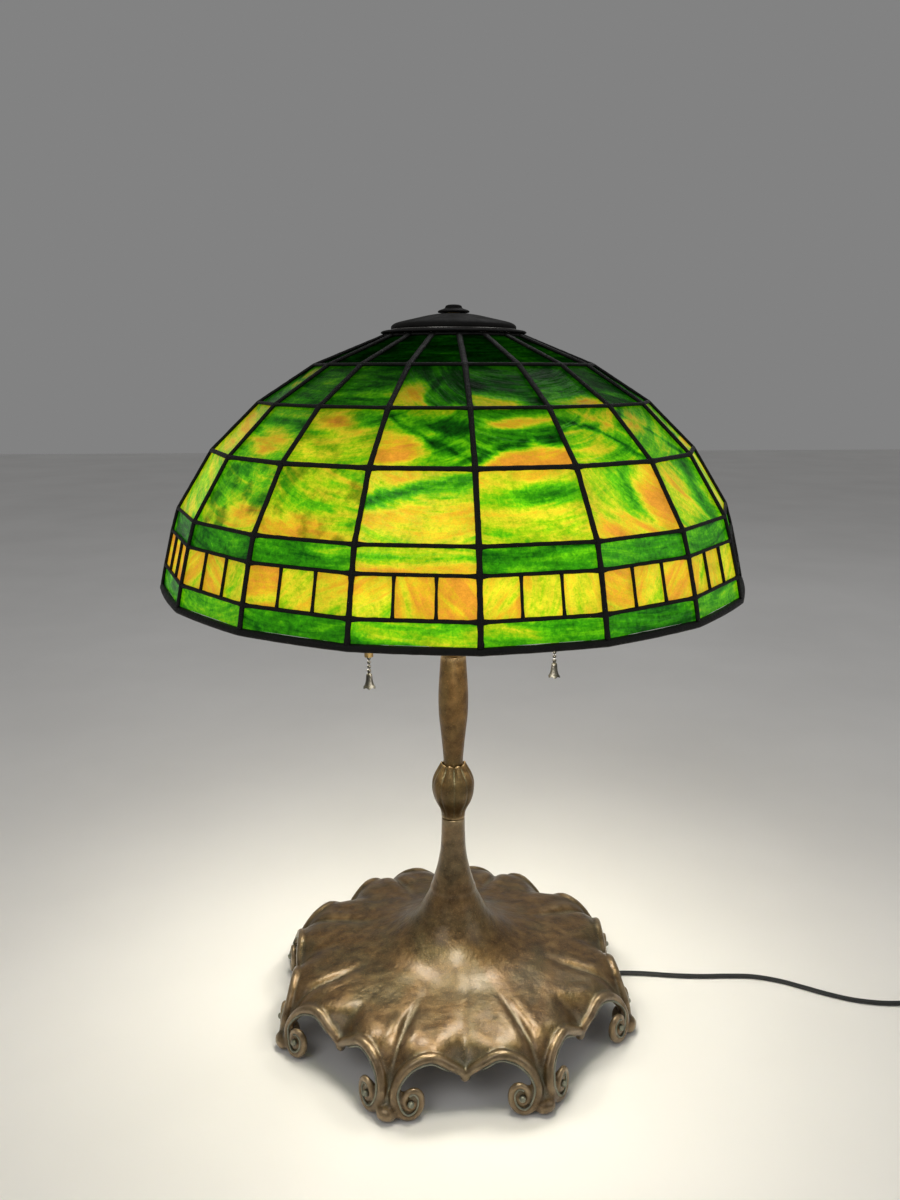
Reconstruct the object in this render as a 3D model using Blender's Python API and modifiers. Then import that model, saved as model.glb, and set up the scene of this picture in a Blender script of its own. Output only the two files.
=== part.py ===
"""Stained glass table lamp: 18-panel leaded shade on a bronze stem and an eight-footed scrolled base.

Lengths below are millimetres, and MM turns them into metres. The lamp's axis is Z, the ground is
z = 0 and the front is -Y. Angles marked "deg" run from -Y towards +X, so 90 is +X.
"""

import math

import bmesh
import bpy
from mathutils import Matrix, Vector

for old in list(bpy.data.objects):
    bpy.data.objects.remove(old, do_unlink=True)

MM = 0.001
GAP = 0.3

# ---- shade -------------------------------------------------------------------------------------
PANELS = 18
PANEL_DEG = 360 / PANELS
FLAT = math.cos(math.radians(PANEL_DEG / 2))
# Corner radius and height of each horizontal came, from the aperture down to the rim.
RINGS = [
    (54.0, 579.3),
    (107.9, 557.5),
    (150.6, 530.3),
    (186.5, 495.6),
    (213.3, 453.0),
    (218.5, 436.3),
    (225.2, 410.3),
    (228.6, 395.2),
]
TILES = [1, 1, 1, 1, 1, 3, 1]
GLASS_OUT = -1.7
GLASS_IN = -4.7
LEAD_IN = -1.4
LEAD_OUT = 0.3
CAME_HALF = [1.7, 1.7, 1.7, 1.7, 1.35, 1.05, 1.35]

# ---- base --------------------------------------------------------------------------------------
FEET = 8
SECTOR = 360 / FEET
SKIN = 3.0
ROLL_R = 3.9
# Upper edge of the skirt over half a bay, from the cusp to the valley above a foot:
# radius, deg from the cusp, height.
RIM = [
    (133.0, 0.0, 30.4),
    (136.4, 4.8, 42.0),
    (140.0, 10.3, 48.6),
    (144.5, 15.6, 45.2),
    (149.5, 18.9, 36.0),
    (156.0, 20.6, 17.0),
    (158.0, 22.5, 8.0),
]
# Height of the trumpet over radius along the top of a bay.
TRUMPET = [
    (25.8, 94.7),
    (30.0, 86.5),
    (36.0, 78.5),
    (45.0, 70.5),
    (58.0, 62.8),
    (75.0, 57.5),
    (95.0, 54.5),
    (115.0, 52.6),
    (130.0, 51.6),
    (145.0, 50.4),
    (170.0, 49.0),
]
SKIRT_OUT = [0.0, 0.09, 0.22, 0.45, 0.70, 0.85, 0.93, 1.0]
SKIRT_IN = [1.0, 0.85, 0.45, 0.22, 0.09, 0.0]
# How late the skirt drops to its rim: at the cusp, and less so at the valley.
DROP_POWER = 9.0
DROP_EASE = 2.0
# Centre line of the rolled lip over half a bay, ending three quarters round the volute.
ROLL = [
    (133.0, 0.0, 27.0),
    (136.0, 4.8, 38.2),
    (140.0, 10.4, 45.3),
    (144.5, 14.9, 42.6),
    (149.5, 18.1, 34.5),
    (154.0, 19.4, 25.0),
    (156.5, 19.2, 15.5),
    (156.6, 17.2, 8.0),
    (154.5, 13.8, 4.4),
    (151.0, 10.5, 6.8),
    (149.0, 8.8, 12.4),
    (149.8, 9.4, 18.4),
]
EYE = (152.8, 13.2, 14.2)
EYE_TURN = 20.0
TOE = (152.6, 15.0)
# Stem below the knop: radius, height.
FOOT_STEM = [
    (10.1, 176.6),
    (10.3, 162.8),
    (11.2, 145.5),
    (13.0, 133.9),
    (15.3, 124.2),
    (18.2, 114.4),
    (21.1, 104.6),
]
BORE_R = 6.0
STEM_SIDES = 24

# ---- lights ------------------------------------------------------------------------------------
LIGHT_DEG = [-53.4, 66.6, 186.6]
ARM_R = 42.0
ARM_Z = 350.0
ARM_TILT = 32.0
CHAIN_R = 86.0
CHAIN_TOP = 352.0
BELL_Z = 313.2

# ---- cord --------------------------------------------------------------------------------------
CORD_D = 5.0
CORD_STEP = 13.0
CORD_ROUTE = [
    (0.0, 0.0, 84.0),
    (0.0, 0.0, 70.0),
    (0.0, 0.0, 56.0),
    (0.3, 0.2, 40.0),
    (4.5, 0.8, 22.0),
    (15.5, 2.5, 8.5),
    (31.0, 4.8, 3.2),
    (50.0, 7.6, 2.6),
    (75.0, 11.0, 2.6),
    (100.0, 14.0, 2.6),
    (128.0, 16.5, 2.6),
    (154.0, 17.0, 2.6),
    (180.0, 14.6, 2.6),
    (206.0, 10.0, 2.6),
    (232.0, 6.8, 2.6),
    (258.0, 5.6, 2.6),
    (282.0, 3.0, 2.6),
    (304.0, -5.0, 2.6),
    (322.0, -15.5, 2.6),
    (340.0, -26.5, 2.6),
    (360.0, -36.0, 2.6),
    (383.0, -41.8, 2.6),
    (407.0, -43.4, 2.6),
    (425.0, -43.1, 2.6),
    (441.0, -42.6, 2.6),
]
COIL_AT = (443.0, -82.0)
COIL_IN = 23.0
COIL_OUT = 36.0
COIL_TOP = 13.6


# ---- helpers -----------------------------------------------------------------------------------
def collection(name, hidden=False):
    made = bpy.data.collections.new(name)
    made.hide_render = hidden
    bpy.context.scene.collection.children.link(made)
    return made


PARTS = collection("stained_glass_table_lamp")
CUTTERS = collection("cutters", hidden=True)


def principled(name, color, metallic=0.0, roughness=0.5, transmission=0.0):
    mat = bpy.data.materials.new(name)
    mat.use_nodes = True
    shader = mat.node_tree.nodes["Principled BSDF"]
    shader.inputs["Base Color"].default_value = (*color, 1.0)
    shader.inputs["Metallic"].default_value = metallic
    shader.inputs["Roughness"].default_value = roughness
    shader.inputs["Transmission Weight"].default_value = transmission
    mat.diffuse_color = (*color, 1.0)
    return mat


MATERIALS = {
    "bronze": principled("bronze", (0.13, 0.085, 0.045), 0.85, 0.42),
    "lead": principled("lead", (0.02, 0.02, 0.018), 0.6, 0.5),
    "steel": principled("steel", (0.45, 0.45, 0.43), 1.0, 0.35),
    "brass": principled("brass", (0.45, 0.31, 0.12), 1.0, 0.35),
    "phenolic": principled("phenolic", (0.02, 0.016, 0.013), 0.0, 0.45),
    "pewter": principled("pewter", (0.09, 0.085, 0.075), 0.9, 0.42),
    "bulb": principled("bulb", (0.95, 0.9, 0.78), 0.0, 0.2, 0.3),
    "cap_black": principled("cap_black", (0.012, 0.011, 0.01), 0.4, 0.4),
    "cord_black": principled("cord_black", (0.01, 0.01, 0.01), 0.0, 0.5),
}
GLASS_COLORS = [
    (0.05, 0.14, 0.03),
    (0.20, 0.34, 0.05),
    (0.42, 0.46, 0.08),
    (0.85, 0.55, 0.10),
    (0.10, 0.30, 0.05),
    (0.90, 0.55, 0.12),
    (0.16, 0.45, 0.06),
]


def place(name, mesh, mat, where=None):
    obj = bpy.data.objects.new(name, mesh)
    (where or PARTS).objects.link(obj)
    if where is CUTTERS:
        obj.display_type = "WIRE"
        obj.hide_render = True
    if mat is not None:
        mine = mat.copy()
        mine.name = name
        mesh.materials.append(mine)
    return obj


def mesh_of(name, points, faces, edges=()):
    mesh = bpy.data.meshes.new(name)
    mesh.from_pydata([Vector(p) * MM for p in points], list(edges), faces)
    mesh.update()
    return mesh


def closed_mesh(name, points, faces):
    """A closed mesh with all its faces turned out."""
    mesh = mesh_of(name, points, faces)
    work = bmesh.new()
    work.from_mesh(mesh)
    bmesh.ops.remove_doubles(work, verts=work.verts, dist=1e-7)
    bmesh.ops.recalc_face_normals(work, faces=work.faces)
    work.to_mesh(mesh)
    work.free()
    return mesh


def polar(radius, deg, z):
    turn = math.radians(deg)
    return Vector((radius * math.sin(turn), -radius * math.cos(turn), z))


def turned(name, profile, steps, mat, loop=False, where=None):
    """A body of revolution. profile is (radius, height), down the outer side from the top."""
    points = [(r, 0.0, z) for r, z in profile]
    edges = [(i, i + 1) for i in range(len(points) - 1)]
    if loop:
        edges.append((len(points) - 1, 0))
    obj = place(name, mesh_of(name, points, [], edges), mat, where)
    screw = obj.modifiers.new("turn", "SCREW")
    screw.axis = "Z"
    screw.angle = math.tau
    screw.steps = steps
    screw.render_steps = steps
    screw.use_merge_vertices = True
    screw.merge_threshold = 0.00001
    screw.use_smooth_shade = False
    return obj


def boolean(obj, other, operation):
    cut = obj.modifiers.new(operation.lower(), "BOOLEAN")
    cut.operation = operation
    cut.solver = "EXACT"
    cut.object = other
    return cut


def primitive(name, maker, matrix, mat=None, where=None, **sizes):
    mesh = bpy.data.meshes.new(name)
    work = bmesh.new()
    maker(work, matrix=matrix, **sizes)
    work.to_mesh(mesh)
    work.free()
    return place(name, mesh, mat, where)


def rod(name, start, end, radius, sides=12, mat=None, where=None):
    start = Vector(start) * MM
    end = Vector(end) * MM
    along = end - start
    matrix = Matrix.Translation((start + end) / 2) @ along.to_track_quat("Z", "Y").to_matrix().to_4x4()
    return primitive(
        name, bmesh.ops.create_cone, matrix, mat, where,
        cap_ends=True, cap_tris=False, segments=sides,
        radius1=radius * MM, radius2=radius * MM, depth=along.length,
    )


def smooth_line(points, step):
    """Points about one step apart on a Catmull-Rom curve through the given points."""
    ends = [2 * points[0] - points[1], *points, 2 * points[-1] - points[-2]]
    fine = []
    for a, b, c, d in zip(ends, ends[1:], ends[2:], ends[3:]):
        for i in range(16):
            t = i / 16
            fine.append(
                0.5 * (2 * b + (c - a) * t + (2 * a - 5 * b + 4 * c - d) * t * t
                       + (3 * b - a - 3 * c + d) * t ** 3)
            )
    fine.append(points[-1])
    lengths = [0.0]
    for p, q in zip(fine, fine[1:]):
        lengths.append(lengths[-1] + (q - p).length)
    count = max(2, round(lengths[-1] / step))
    line = []
    at = 0
    for i in range(count + 1):
        want = lengths[-1] * i / count
        while at < len(lengths) - 2 and lengths[at + 1] < want:
            at += 1
        part = (want - lengths[at]) / max(1e-9, lengths[at + 1] - lengths[at])
        line.append(fine[at].lerp(fine[at + 1], min(1.0, part)))
    return line


def tube(name, line, radius, resolution, mat, where=None):
    """A closed round tube along a list of points, as a mesh."""
    curve = bpy.data.curves.new(name, "CURVE")
    curve.dimensions = "3D"
    curve.bevel_depth = radius * MM
    curve.bevel_resolution = resolution
    curve.use_fill_caps = True
    spline = curve.splines.new("POLY")
    spline.points.add(len(line) - 1)
    for point, co in zip(spline.points, line):
        point.co = (*(Vector(co) * MM), 1.0)
    guide = bpy.data.objects.new(name + "_line", curve)
    CUTTERS.objects.link(guide)
    mesh = bpy.data.meshes.new_from_object(guide)
    bpy.data.objects.remove(guide, do_unlink=True)
    work = bmesh.new()
    work.from_mesh(mesh)
    bmesh.ops.remove_doubles(work, verts=work.verts, dist=1e-7)
    bmesh.ops.recalc_face_normals(work, faces=work.faces)
    work.to_mesh(mesh)
    work.free()
    mesh.name = name
    return place(name, mesh, mat, where)


def lookup(table, at):
    for (x0, y0), (x1, y1) in zip(table, table[1:]):
        if at <= x1:
            return y0 + (y1 - y0) * (at - x0) / (x1 - x0)
    return table[-1][1]


# ---- base casting ------------------------------------------------------------------------------
def skirt_point(half, share):
    """A point on the top of the skirt: half is the column in half a bay, share runs out to the rim."""
    rim_r, rim_deg, rim_z = RIM[half]
    neck_r = TRUMPET[0][0]
    radius = neck_r + (rim_r - neck_r) * share
    deg = 22.5 * half / (len(RIM) - 1) * (1 - share) + rim_deg * share
    power = DROP_POWER - DROP_EASE * half / (len(RIM) - 1)
    drop = (lookup(TRUMPET, rim_r) - rim_z) * share ** power
    return radius, deg, lookup(TRUMPET, radius) - drop


def skirt_ring(share):
    ring = []
    last = len(RIM) - 1
    for bay in range(FEET):
        for half in range(last):
            radius, deg, z = skirt_point(half, share)
            ring.append(polar(radius, SECTOR * bay + deg, z))
        for half in range(last, 0, -1):
            radius, deg, z = skirt_point(half, share)
            ring.append(polar(radius, SECTOR * (bay + 1) - deg, z))
    return ring


def offset_grid(grid, depth):
    """The same grid of rings moved down through the skin."""
    moved = []
    for i, ring in enumerate(grid):
        above = grid[max(0, i - 1)]
        below = grid[min(len(grid) - 1, i + 1)]
        row = []
        for j in range(len(ring)):
            around = ring[(j + 1) % len(ring)] - ring[j - 1]
            out = below[j] - above[j]
            normal = out.cross(around).normalized()
            if normal.z < 0:
                normal.negate()
            row.append(ring[j] - normal * depth)
        moved.append(row)
    return moved


def bridge(faces, upper, lower):
    """Faces between two rings of point numbers, whose counts may differ by a whole factor."""
    if len(upper) == len(lower):
        count = len(upper)
        for i in range(count):
            j = (i + 1) % count
            faces.append((upper[i], lower[i], lower[j], upper[j]))
        return
    few, many = (upper, lower) if len(upper) < len(lower) else (lower, upper)
    factor = len(many) // len(few)
    for i in range(len(few)):
        fan = [many[(factor * i + k) % len(many)] for k in range(factor + 1)]
        faces.append((few[i], *fan, few[(i + 1) % len(few)]))


def base_shell():
    points = []
    rings = []

    def add(ring):
        rings.append(list(range(len(points), len(points) + len(ring))))
        points.extend(ring)

    def stem(radius, z):
        add([polar(radius, 360 * i / STEM_SIDES, z) for i in range(STEM_SIDES)])

    for radius, z in FOOT_STEM:
        stem(radius, z)
    outer = [skirt_ring(share) for share in SKIRT_OUT]
    for ring in outer:
        add(ring)
    inner = offset_grid([skirt_ring(share) for share in SKIRT_IN], SKIN)
    for ring in inner:
        add(ring)
    stem(15.0, 104.0)
    stem(BORE_R, 104.0)
    stem(BORE_R, FOOT_STEM[0][1])
    faces = []
    for upper, lower in zip(rings, rings[1:]):
        bridge(faces, upper, lower)
    bridge(faces, rings[-1], rings[0])
    return closed_mesh("base_casting", points, faces)


def scroll_pieces():
    """The rolled lips, volutes, toes and cusp drops that the casting's skirt ends in."""
    made = []
    half = [polar(*p) for p in ROLL]
    left = [Vector((-p.x, p.y, p.z)) for p in half]
    line = left[:0:-1] + half
    for bay in range(FEET):
        spin = Matrix.Rotation(math.radians(SECTOR * bay), 4, "Z")
        made.append(tube(f"lip_{bay}", [spin @ p for p in line], ROLL_R, 1, None, CUTTERS))
        for side in (-1, 1):
            radius, deg, z = EYE
            eye = polar(radius, SECTOR * bay + side * deg, z) * MM
            face = polar(1, SECTOR * bay + side * (deg - EYE_TURN), 0)
            matrix = Matrix.Translation(eye) @ face.to_track_quat("Z", "Y").to_matrix().to_4x4()
            made.append(primitive(
                f"eye_{bay}_{side}", bmesh.ops.create_cone, matrix, None, CUTTERS,
                cap_ends=True, cap_tris=False, segments=9,
                radius1=8.4 * MM, radius2=3.6 * MM, depth=8.6 * MM,
            ))
        radius, height = TOE
        base = polar(radius, SECTOR * (bay + 0.5), height / 2) * MM
        matrix = Matrix.Translation(base) @ Matrix.Rotation(math.radians(SECTOR * (bay + 0.5)), 4, "Z")
        made.append(primitive(
            f"toe_{bay}", bmesh.ops.create_cone, matrix, None, CUTTERS,
            cap_ends=True, cap_tris=False, segments=8,
            radius1=10.0 * MM, radius2=6.4 * MM, depth=height * MM,
        ))
        made.append(primitive(
            f"drop_{bay}", bmesh.ops.create_cone, Matrix.Translation(polar(132.6, SECTOR * bay, 25.6) * MM),
            None, CUTTERS, cap_ends=True, cap_tris=False, segments=6,
            radius1=1.9 * MM, radius2=4.6 * MM, depth=9.0 * MM,
        ))
    return made


casting = place("base_casting", base_shell(), MATERIALS["bronze"])
scrolls = collection("scrolls", hidden=True)
for piece in scroll_pieces():
    scrolls.objects.link(piece)
union = casting.modifiers.new("scrolls", "BOOLEAN")
union.operation = "UNION"
union.solver = "EXACT"
union.operand_type = "COLLECTION"
union.collection = scrolls


# ---- stem --------------------------------------------------------------------------------------
def pleated(name, rows, ribs, bore, mat):
    """A ribbed body: rows are radius, height and rib depth, from the top down. bore is the inside."""
    columns = ribs * 2
    points = []
    rings = []
    for radius, z, depth in rows + [(r, h, 0.0) for r, h in bore]:
        rings.append(list(range(len(points), len(points) + columns)))
        for i in range(columns):
            points.append(polar(radius - depth * (i % 2), 360 * i / columns, z))
    faces = []
    for upper, lower in zip(rings, rings[1:]):
        bridge(faces, upper, lower)
    bridge(faces, rings[-1], rings[0])
    return place(name, closed_mesh(name, points, faces), mat)


pleated(
    "stem_knop",
    [(10.2, 226.4, 0.0), (12.9, 220.5, 1.0), (16.2, 214.6, 1.8), (18.3, 205.3, 2.0), (17.2, 195.9, 1.9),
     (13.9, 188.4, 1.4), (10.7, 181.8, 0.6), (10.2, 176.9, 0.0)],
    12,
    [(BORE_R, 176.9), (BORE_R, 220.4), (9.0, 220.4), (9.0, 226.4)],
    MATERIALS["bronze"],
)
turned(
    "upper_stem",
    [(10.4, 323.0), (10.8, 317.9), (12.0, 300.0), (12.6, 286.0), (12.2, 270.0), (10.8, 255.8),
     (8.9, 237.6), (8.0, 223.8), (8.0, 220.7), (BORE_R, 220.7), (BORE_R, 323.0)],
    16, MATERIALS["bronze"], loop=True,
)
turned(
    "center_pipe",
    [(5.0, 343.0), (5.0, 88.0), (3.2, 88.0), (3.2, 343.0)],
    12, MATERIALS["steel"], loop=True,
)
turned(
    "bottom_washer",
    [(13.5, 103.7), (13.5, 101.8), (5.4, 101.8), (5.4, 103.7)],
    14, MATERIALS["steel"], loop=True,
)
nut = turned("bottom_nut", [(0, 101.5), (9.4, 101.5), (9.4, 95.2), (0, 95.2)], 6, MATERIALS["brass"])
boolean(nut, rod("nut_bore", (0, 0, 90), (0, 0, 107), 5.4, 12, None, CUTTERS), "DIFFERENCE")
turned(
    "cord_bushing",
    [(7.6, 94.9), (7.6, 86.0), (4.9, 82.0), (3.5, 56.0), (2.8, 56.0), (2.8, 87.4), (5.4, 87.4), (5.4, 94.9)],
    10, MATERIALS["phenolic"], loop=True,
)

# ---- light cluster -----------------------------------------------------------------------------
TILT = math.radians(ARM_TILT)


def light_frame(deg):
    """Local +Z runs out along one light's axis, from the end of its arm."""
    out = Matrix.Rotation(math.radians(deg), 4, "Z") @ Matrix.Translation((0, -ARM_R * MM, ARM_Z * MM))
    return out @ Matrix.Rotation(math.pi / 2 - TILT, 4, "X")


cluster = turned(
    "cluster_body",
    [(0, 352.4), (9.5, 352.4), (12.0, 349.5), (18.5, 347.0), (20.0, 341.0), (20.0, 332.0), (16.0, 326.5),
     (11.5, 323.3), (5.4, 323.3), (5.4, 343.4), (0, 343.4)],
    18, MATERIALS["brass"],
)
for number, deg in enumerate(LIGHT_DEG, 1):
    frame = light_frame(deg)
    arm = rod(f"arm_{number}", (0, 0, -29.0), (0, 0, 7.0), 4.6, 10, None, CUTTERS)
    arm.data.transform(frame)
    boolean(cluster, arm, "UNION")

    cap = turned(
        f"socket_cap_{number}",
        [(17.0, 20.0), (17.0, 13.0), (7.6, 6.4), (7.6, 1.5), (4.9, 1.5), (4.9, 7.6), (15.7, 14.6), (15.7, 20.0)],
        12, MATERIALS["brass"], loop=True,
    )
    shell = turned(
        f"socket_shell_{number}",
        [(18.6, 57.0), (18.6, 16.5), (17.3, 16.5), (17.3, 57.0)],
        12, MATERIALS["brass"], loop=True,
    )
    core = turned(
        f"socket_core_{number}",
        [(0, 33.8), (15.3, 33.8), (15.3, 20.5), (0, 20.5)],
        12, MATERIALS["phenolic"],
    )
    screw_shell = turned(
        f"screw_shell_{number}",
        [(14.5, 54.0), (14.5, 34.2), (13.6, 34.2), (13.6, 54.0)],
        14, MATERIALS["brass"], loop=True,
    )
    bulb_base = turned(
        f"bulb_base_{number}",
        [(0, 60.0), (12.9, 60.0), (12.9, 39.0), (8.0, 36.4), (0, 35.4)],
        14, MATERIALS["steel"],
    )
    bulb_glass = turned(
        f"bulb_glass_{number}",
        [(0, 137.0), (12.5, 134.8), (23.0, 127.5), (29.0, 117.0), (30.0, 107.0), (27.5, 94.0), (20.0, 78.0),
         (14.6, 68.0), (13.6, 60.3), (0, 60.3)],
        14, MATERIALS["bulb"],
    )
    for piece in (cap, shell, core, screw_shell, bulb_base, bulb_glass):
        piece.matrix_world = frame

    # The horn that guides the chain leaves the shell straight down. It is drawn in the shell's frame.
    top = frame.inverted() @ (polar(CHAIN_R, deg, 357.2) * MM)
    end = frame.inverted() @ (polar(CHAIN_R, deg, 338.0) * MM)
    over = frame.inverted() @ (polar(CHAIN_R, deg, 359.4) * MM)
    under = frame.inverted() @ (polar(CHAIN_R, deg, 336.0) * MM)
    horn = rod(f"horn_{number}", top / MM, end / MM, 3.5, 8, None, CUTTERS)
    horn.data.transform(frame)
    hole = rod(f"horn_hole_{number}", over / MM, under / MM, 2.2, 8, None, CUTTERS)
    hole.data.transform(frame)
    boolean(shell, horn, "UNION")
    boolean(shell, hole, "DIFFERENCE")

    beads = []
    level = CHAIN_TOP
    while level > BELL_Z + 17.0:
        beads += [(0.5, level), (1.5, level - 1.7)]
        level -= 3.4
    beads.append((0.5, level))
    beads = [(0, beads[0][1]), *beads, (0, beads[-1][1])]
    chain = turned(f"pull_chain_{number}", beads, 6, MATERIALS["brass"])
    bell_top = beads[-1][1] - GAP
    bell = turned(
        f"pull_bell_{number}",
        [(0, bell_top), (1.5, bell_top), (2.3, BELL_Z + 10.6), (2.6, BELL_Z + 7.0), (3.3, BELL_Z + 3.0),
         (4.8, BELL_Z), (4.2, BELL_Z), (2.9, BELL_Z + 3.2), (2.0, BELL_Z + 7.6), (0, BELL_Z + 8.6)],
        12, MATERIALS["pewter"],
    )
    for piece in (chain, bell):
        piece.location = polar(CHAIN_R, deg, 0) * MM

# ---- riser, spider and cap ---------------------------------------------------------------------
turned(
    "riser_rod",
    [(0, 597.6), (4.7, 597.6), (4.7, 358.0), (7.5, 357.0), (7.5, 352.7), (0, 352.7)],
    12, MATERIALS["brass"],
)
spider = turned(
    "shade_spider",
    [(50.0, 579.7), (50.0, 576.7), (43.5, 576.7), (43.5, 579.7)],
    24, MATERIALS["brass"], loop=True,
)
hub = turned("spider_hub", [(10.5, 579.7), (10.5, 573.7), (0, 573.7), (0, 579.7)], 12, None, loop=True, where=CUTTERS)
boolean(spider, hub, "UNION")
for number in range(3):
    turn = Matrix.Rotation(math.radians(120 * number + 6.6), 4, "Z")
    matrix = turn @ Matrix.Translation(Vector((0, -26.5, 578.2)) * MM) @ Matrix.Diagonal((6 * MM, 41 * MM, 2.6 * MM, 1))
    spoke = primitive(f"spoke_{number}", bmesh.ops.create_cube, matrix, None, CUTTERS, size=1.0)
    boolean(spider, spoke, "UNION")
boolean(spider, rod("spider_bore", (0, 0, 565), (0, 0, 585), 5.0, 12, None, CUTTERS), "DIFFERENCE")
turned(
    "aperture_ring",
    [(45.0, 582.5), (52.5, 582.3), (55.2, 581.6), (55.8, 580.7), (55.4, 580.0), (45.0, 580.0)],
    28, MATERIALS["brass"], loop=True,
)
turned(
    "heat_cap",
    [(5.2, 595.2), (18.0, 593.8), (30.0, 591.3), (41.0, 588.6), (46.6, 586.9), (48.2, 584.9), (47.8, 582.8),
     (46.3, 582.8), (46.2, 584.4), (44.6, 585.8), (29.5, 589.8), (17.8, 592.4), (5.2, 593.9)],
    24, MATERIALS["cap_black"], loop=True,
)
turned(
    "finial",
    [(0, 601.7), (4.2, 601.5), (5.9, 600.6), (6.3, 599.3), (9.2, 598.0), (11.8, 597.0), (12.2, 596.2),
     (11.6, 595.5), (5.0, 595.5), (5.0, 598.0), (0, 598.0)],
    16, MATERIALS["cap_black"],
)


# ---- shade -------------------------------------------------------------------------------------
def offset_rings(depth):
    """RINGS moved along the outward normal of the panels, as apothem and height."""
    line = [Vector((r * FLAT, z)) for r, z in RINGS]
    normals = []
    for a, b in zip(line, line[1:]):
        along = (b - a).normalized()
        normals.append(Vector((-along.y, along.x)))
    moved = []
    for i, point in enumerate(line):
        before = normals[max(0, i - 1)]
        after = normals[min(len(normals) - 1, i)]
        middle = (before + after).normalized()
        moved.append(point + middle * (depth / middle.dot(after)))
    return moved


def glass_row(number):
    outer = offset_rings(GLASS_OUT)
    inner = offset_rings(GLASS_IN)
    a, b = outer[number], outer[number + 1]
    c, d = inner[number + 1], inner[number]
    along = (b - a).normalized() * 0.2
    profile = [(p.x / FLAT, p.y) for p in (a + along, b - along, c - along, d + along)]
    mat = principled(f"glass_{number + 1}", GLASS_COLORS[number], 0.0, 0.25, 0.25)
    row = turned(f"glass_row_{number + 1}", profile, PANELS, mat, loop=True)
    row.rotation_euler.z = math.radians(PANEL_DEG / 2)
    return row


def lead_lattice():
    """The came network: one sheet of panes, each pane pushed out of its frame, then given thickness."""
    rings = offset_rings(LEAD_IN)
    work = bmesh.new()
    corners = []
    for level, ring in enumerate(rings):
        splits = max(TILES[max(0, level - 1)], TILES[min(len(TILES) - 1, level)])
        row = []
        for panel in range(PANELS):
            a = polar(ring.x / FLAT, PANEL_DEG * panel, ring.y) * MM
            b = polar(ring.x / FLAT, PANEL_DEG * (panel + 1), ring.y) * MM
            row.append([work.verts.new(a.lerp(b, k / splits)) for k in range(splits)])
        corners.append(row)
    panes = []
    for level, tiles in enumerate(TILES):
        for panel in range(PANELS):
            after = (panel + 1) % PANELS
            upper = corners[level][panel] + [corners[level][after][0]]
            lower = corners[level + 1][panel] + [corners[level + 1][after][0]]
            for tile in range(tiles):
                top = upper[tile * (len(upper) - 1) // tiles:(tile + 1) * (len(upper) - 1) // tiles + 1]
                low = lower[tile * (len(lower) - 1) // tiles:(tile + 1) * (len(lower) - 1) // tiles + 1]
                panes.append((level, work.faces.new([*top[::-1], *low])))
    work.normal_update()
    for level in range(len(TILES)):
        mine = [face for at, face in panes if at == level]
        bmesh.ops.inset_individual(work, faces=mine, thickness=CAME_HALF[level] * MM, use_even_offset=True)
    bmesh.ops.delete(work, geom=[face for _, face in panes], context="FACES_ONLY")
    bmesh.ops.recalc_face_normals(work, faces=work.faces)
    mesh = bpy.data.meshes.new("lead_lattice")
    work.to_mesh(mesh)
    work.free()
    lattice = place("lead_lattice", mesh, MATERIALS["lead"])
    skin = lattice.modifiers.new("thickness", "SOLIDIFY")
    skin.thickness = (LEAD_OUT - LEAD_IN) * MM
    skin.offset = 1.0
    skin.use_even_offset = True
    return lattice


for row_number in range(len(TILES)):
    glass_row(row_number)
lead_lattice()
band = turned(
    "rim_band",
    [(229.2, 394.6), (229.9, 393.8), (229.9, 391.0), (229.2, 390.2), (225.0, 390.2), (225.0, 394.6)],
    PANELS, MATERIALS["lead"], loop=True,
)
band.rotation_euler.z = math.radians(PANEL_DEG / 2)

# ---- cord, coil and plug -----------------------------------------------------------------------
tube("mains_cord", smooth_line([Vector(p) for p in CORD_ROUTE], CORD_STEP), CORD_D / 2, 1, MATERIALS["cord_black"])
coil = turned(
    "cord_coil",
    [(COIL_IN + 3, COIL_TOP), (COIL_OUT - 3, COIL_TOP), (COIL_OUT, COIL_TOP - 3), (COIL_OUT, 4.4),
     (COIL_OUT - 3, 1.4), (COIL_IN + 3, 1.4), (COIL_IN, 4.4), (COIL_IN, COIL_TOP - 3)],
    24, MATERIALS["cord_black"], loop=True,
)
coil.location = (COIL_AT[0] * MM, COIL_AT[1] * MM, 0)
TIE_DEG = 200.0
tie_at = polar((COIL_IN + COIL_OUT) / 2, TIE_DEG, (COIL_TOP + 1.4) / 2) + Vector((*COIL_AT, 0))
tie_turn = Matrix.Translation(tie_at * MM) @ Matrix.Rotation(math.radians(TIE_DEG), 4, "Z")
tie_size = (6.0, COIL_OUT - COIL_IN + 2.8, COIL_TOP - 1.4 + 2.4)
hole_size = (9.0, COIL_OUT - COIL_IN + 0.9, COIL_TOP - 1.4 + 0.7)
tie = primitive(
    "cord_tie", bmesh.ops.create_cube, tie_turn @ Matrix.Diagonal((*(s * MM for s in tie_size), 1)),
    MATERIALS["phenolic"], None, size=1.0,
)
tie_hole = primitive(
    "tie_hole", bmesh.ops.create_cube, tie_turn @ Matrix.Diagonal((*(s * MM for s in hole_size), 1)),
    None, CUTTERS, size=1.0,
)
boolean(tie, tie_hole, "DIFFERENCE")


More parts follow.
